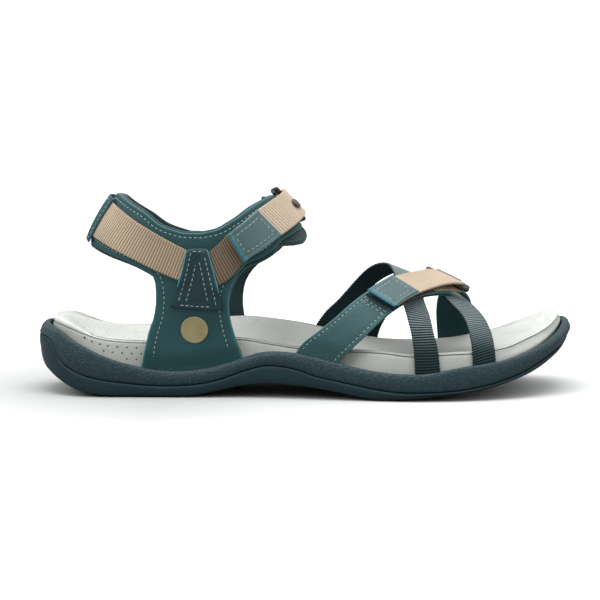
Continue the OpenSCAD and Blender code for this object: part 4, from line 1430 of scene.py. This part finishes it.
FRONT_TAIL = (pairs(158.6,41, 165,49, 171.2,57, 181,66.5, 190,75),
              pairs(172,36, 177.2,43, 184,51, 194.2,61.5, 204.4,71))
ANCHOR = (pairs(198.2,176, 198,165, 197,148, 197,134, 198,118, 196.6,103, 193,90),
          pairs(218.8,172, 218.4,160, 217,148, 215,134, 212.6,118, 210,103, 207.2,88))
FRONT_FRAME = RingFrame(FOREFOOT, ((199.2, 86), 5.75), ((197.6, 73.2), 7.05),
                        ((191.5, 80), (205.8, 76)), shift=-1.2)


def edge_stitches(name, edges, start, end, low, height, count=90):
    """A row of stitches 2 mm in from each edge of a strap."""
    for j, d in enumerate((2.0, -2.0)):
        path = []
        for i in range(count + 1):
            a, b = (curve_at(edge, lerp(start, end, i / count)) for edge in edges)
            width = (FOREFOOT.point(b) - FOREFOOT.point(a)).length
            path.append(between(a, b, d / width if d > 0 else 1 + d / width))
        stitch_on(f"{name}_{j}", FOREFOOT, path, height, low=low)


def build_front_strap():
    strap = part(FRONT_STRAP, 0, 1, 60)
    ribbon("front_lining_pad", FOREFOOT, strap, (1.7, 2.75), KNIT, "padded_lining",
           "front_strap_lining", corner=0.45)
    ribbon("front_strap_leather", FOREFOOT, strap, (2.95, 4.1), FRONT_LEATHER, "teal_leather",
           "front_lateral_strap", low=(1.35, 2.3), corner=0.45, groove=2.0, step=1.2)
    edge_stitches("front_strap_stitch", FRONT_STRAP, 0.1, 0.96, low=2.2, height=3.98)
    # two rows across the strap, behind the start of the loop tape
    for j, shift in enumerate((-2.2, -3.9)):
        path = []
        for i in range(31):
            x, angle = between(FRONT_TAIL[0][0], FRONT_TAIL[1][0], 0.1 + 0.8 * i / 30)
            path.append((x + shift * 0.8, angle + shift * 0.9))
        stitch_on(f"front_strap_cross_stitch_{j}", FOREFOOT, path, 4.12)


def build_front_closure():
    tape("front_loop_tape", FOREFOOT, part(FRONT_TAIL, 0, 0.66), (4.3, 5.0),
         "front_loop_strip")
    base = web("front_base_web", FOREFOOT, part(FRONT_TAIL, 0.7, 1), (4.3, 5.4), TAN_WEB,
               "front_base_webbing", jag=0.0, body=None)
    blend_along(base, FOREFOOT, FRONT_TAIL, 0.74)
    tape("front_hook_tape", FOREFOOT, part(FRONT_TAIL, 0.1, 0.55), (5.6, 6.2),
         "front_hook_patch", "front_strap")
    web("front_tail_web", FOREFOOT, part(FRONT_TAIL, 0.08, 1, 60), (6.4, 7.6), LIGHT_WEB,
        "front_tail", body="front_strap", lift=lambda t: 2.1 * smoothstep((t - 0.5) / 0.42))
    pull_tab("front", FOREFOOT, part(FRONT_TAIL, 0, 0.46), (7.8, 9.0), groove=2.0)


def build_anchor():
    ribbon("medial_anchor_strap", FOREFOOT, part(ANCHOR, 0, 1, 40), (1.7, 2.95),
           ANCHOR_LEATHER, "teal_leather", "front_medial_anchor", low=(0.15, 1.35),
           corner=0.45, groove=2.0, step=1.2)
    edge_stitches("medial_anchor_stitch", ANCHOR, 0.1, 0.97, low=1.3, height=2.83)
    keeper("front", FRONT_FRAME, plate=6, up=-1)
    fold("front", FRONT_FRAME, -7.6, 8.9, up=-1)


for place, edges in (("rear", CROSS_REAR), ("front", CROSS_FRONT)):
    ribbon("cross_web_" + place, FOREFOOT, part(edges, 0, 1, 60), (0.2, 1.45), CHARCOAL_WEB,
           "charcoal_webbing", "cross_webbing_" + place, rib=0.13, across=6, jag=0.22)
build_front_strap()
build_front_closure()
build_anchor()
for name in ("instep_ring", "front_ring"):
    ring_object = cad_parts[name]
    if not ring_object.material_slots:
        ring_object.data.materials.append(RING_METAL)
    for material_slot in ring_object.material_slots:
        material_slot.material = RING_METAL


# ---------------------------------------------------------------- floor, light, camera
def add_object(name, data):
    obj = bpy.data.objects.new(name, data)
    bpy.context.collection.objects.link(obj)
    return obj


def floor_material():
    """White far off, and for the camera a painted shadow under the sandal, darker at the heel
    than at the toe; darker for bounced light.
    """
    m = Shader("pale_floor", 0.85, spec=0.1)
    light_path = m.node("LightPath").outputs
    x, y, _ = m.split(m.coords["Object"])
    # squared distance from the sandal, in an ellipse of 0.24 by 0.16 m
    along = m.math("DIVIDE", m.math("SUBTRACT", x, 0.07), 0.24)
    distance = m.math("ADD", m.math("POWER", along, 2.0),
                      m.math("POWER", m.math("DIVIDE", y, 0.16), 2.0))
    # painted shadow: greyer under the sandal, darker under the heel than under the toe
    near = m.mix(m.remap(x, (0.0, 0.13)), (0.47, 0.475, 0.475, 1), (0.68, 0.685, 0.685, 1))
    camera_colour_with_painted_shadow = m.mix(m.remap(distance, (0.25, 2.2)), near, (0.95, 0.95, 0.95, 1))
    m.color(m.mix(light_path["Is Camera Ray"], (0.3, 0.31, 0.31, 1), camera_colour_with_painted_shadow))
    m.bump(m.noise(400), distance=0.00002, strength=0.1)
    return m.material


def build_floor():
    material = floor_material()
    mesh = bpy.data.meshes.new("floor")
    mesh.from_pydata([(-6, -4, 0), (6, -4, 0), (6, 12, 0), (-6, 12, 0)], [], [(0, 1, 2, 3)])
    mesh.materials.append(material)
    floor = add_object("floor", mesh)
    floor.location = (0, 0, -0.0004)


def build_world():
    """A soft box: bright above, dim at the horizon, plain white to the camera."""
    world = bpy.data.worlds.new("studio")
    bpy.context.scene.world = world
    world.use_nodes = True
    n = Nodes(world.node_tree)
    up = n.split(n.coords["Generated"])[2]
    glow = n.remap(up, (0.15, 0.95), (0.2, 1.9))
    light_path = n.node("LightPath").outputs
    mix = n.node("Mix")
    n.link(light_path["Is Camera Ray"], mix.inputs[0])
    n.link(glow, mix.inputs[2])
    mix.inputs[3].default_value = 1.1
    background = n.nodes["Background"].inputs
    background[0].default_value = (1, 1, 1, 1)
    n.link(mix.outputs[0], background[1])


build_floor()
for name, location, target, size, power in (    # metres and watts
        ("key", (0.1, -0.35, 1.5), (0.07, 0, 0.03), (1.2, 0.9), 12),
        ("heel", (-1.1, -0.7, 0.9), (0.0, 0, 0.06), (0.8, 0.8), 7),
        ("toe", (1.4, -0.7, 0.7), (0.09, 0, 0.04), (0.7, 0.7), 2.8)):
    light = bpy.data.lights.new(name, "AREA")
    light.shape = "RECTANGLE"
    light.size, light.size_y = size
    light.energy = power
    lamp = add_object(name, light)
    lamp.location = location
    aim = Vector(target) - Vector(location)
    lamp.rotation_euler = aim.to_track_quat("-Z", "Y").to_euler()
build_world()
bpy.context.scene.view_settings.view_transform = "Standard"
lens = bpy.data.cameras.new("camera")
lens.lens, lens.sensor_width = 135.3, 36
lens.clip_start, lens.clip_end = 0.05, 60
camera = add_object("camera", lens)
camera.location = (0.0698, -1.100, 0.1633)
camera.rotation_euler = (math.radians(90 - 6.24), 0, 0)
bpy.context.scene.camera = camera

bpy.context.view_layer.update()
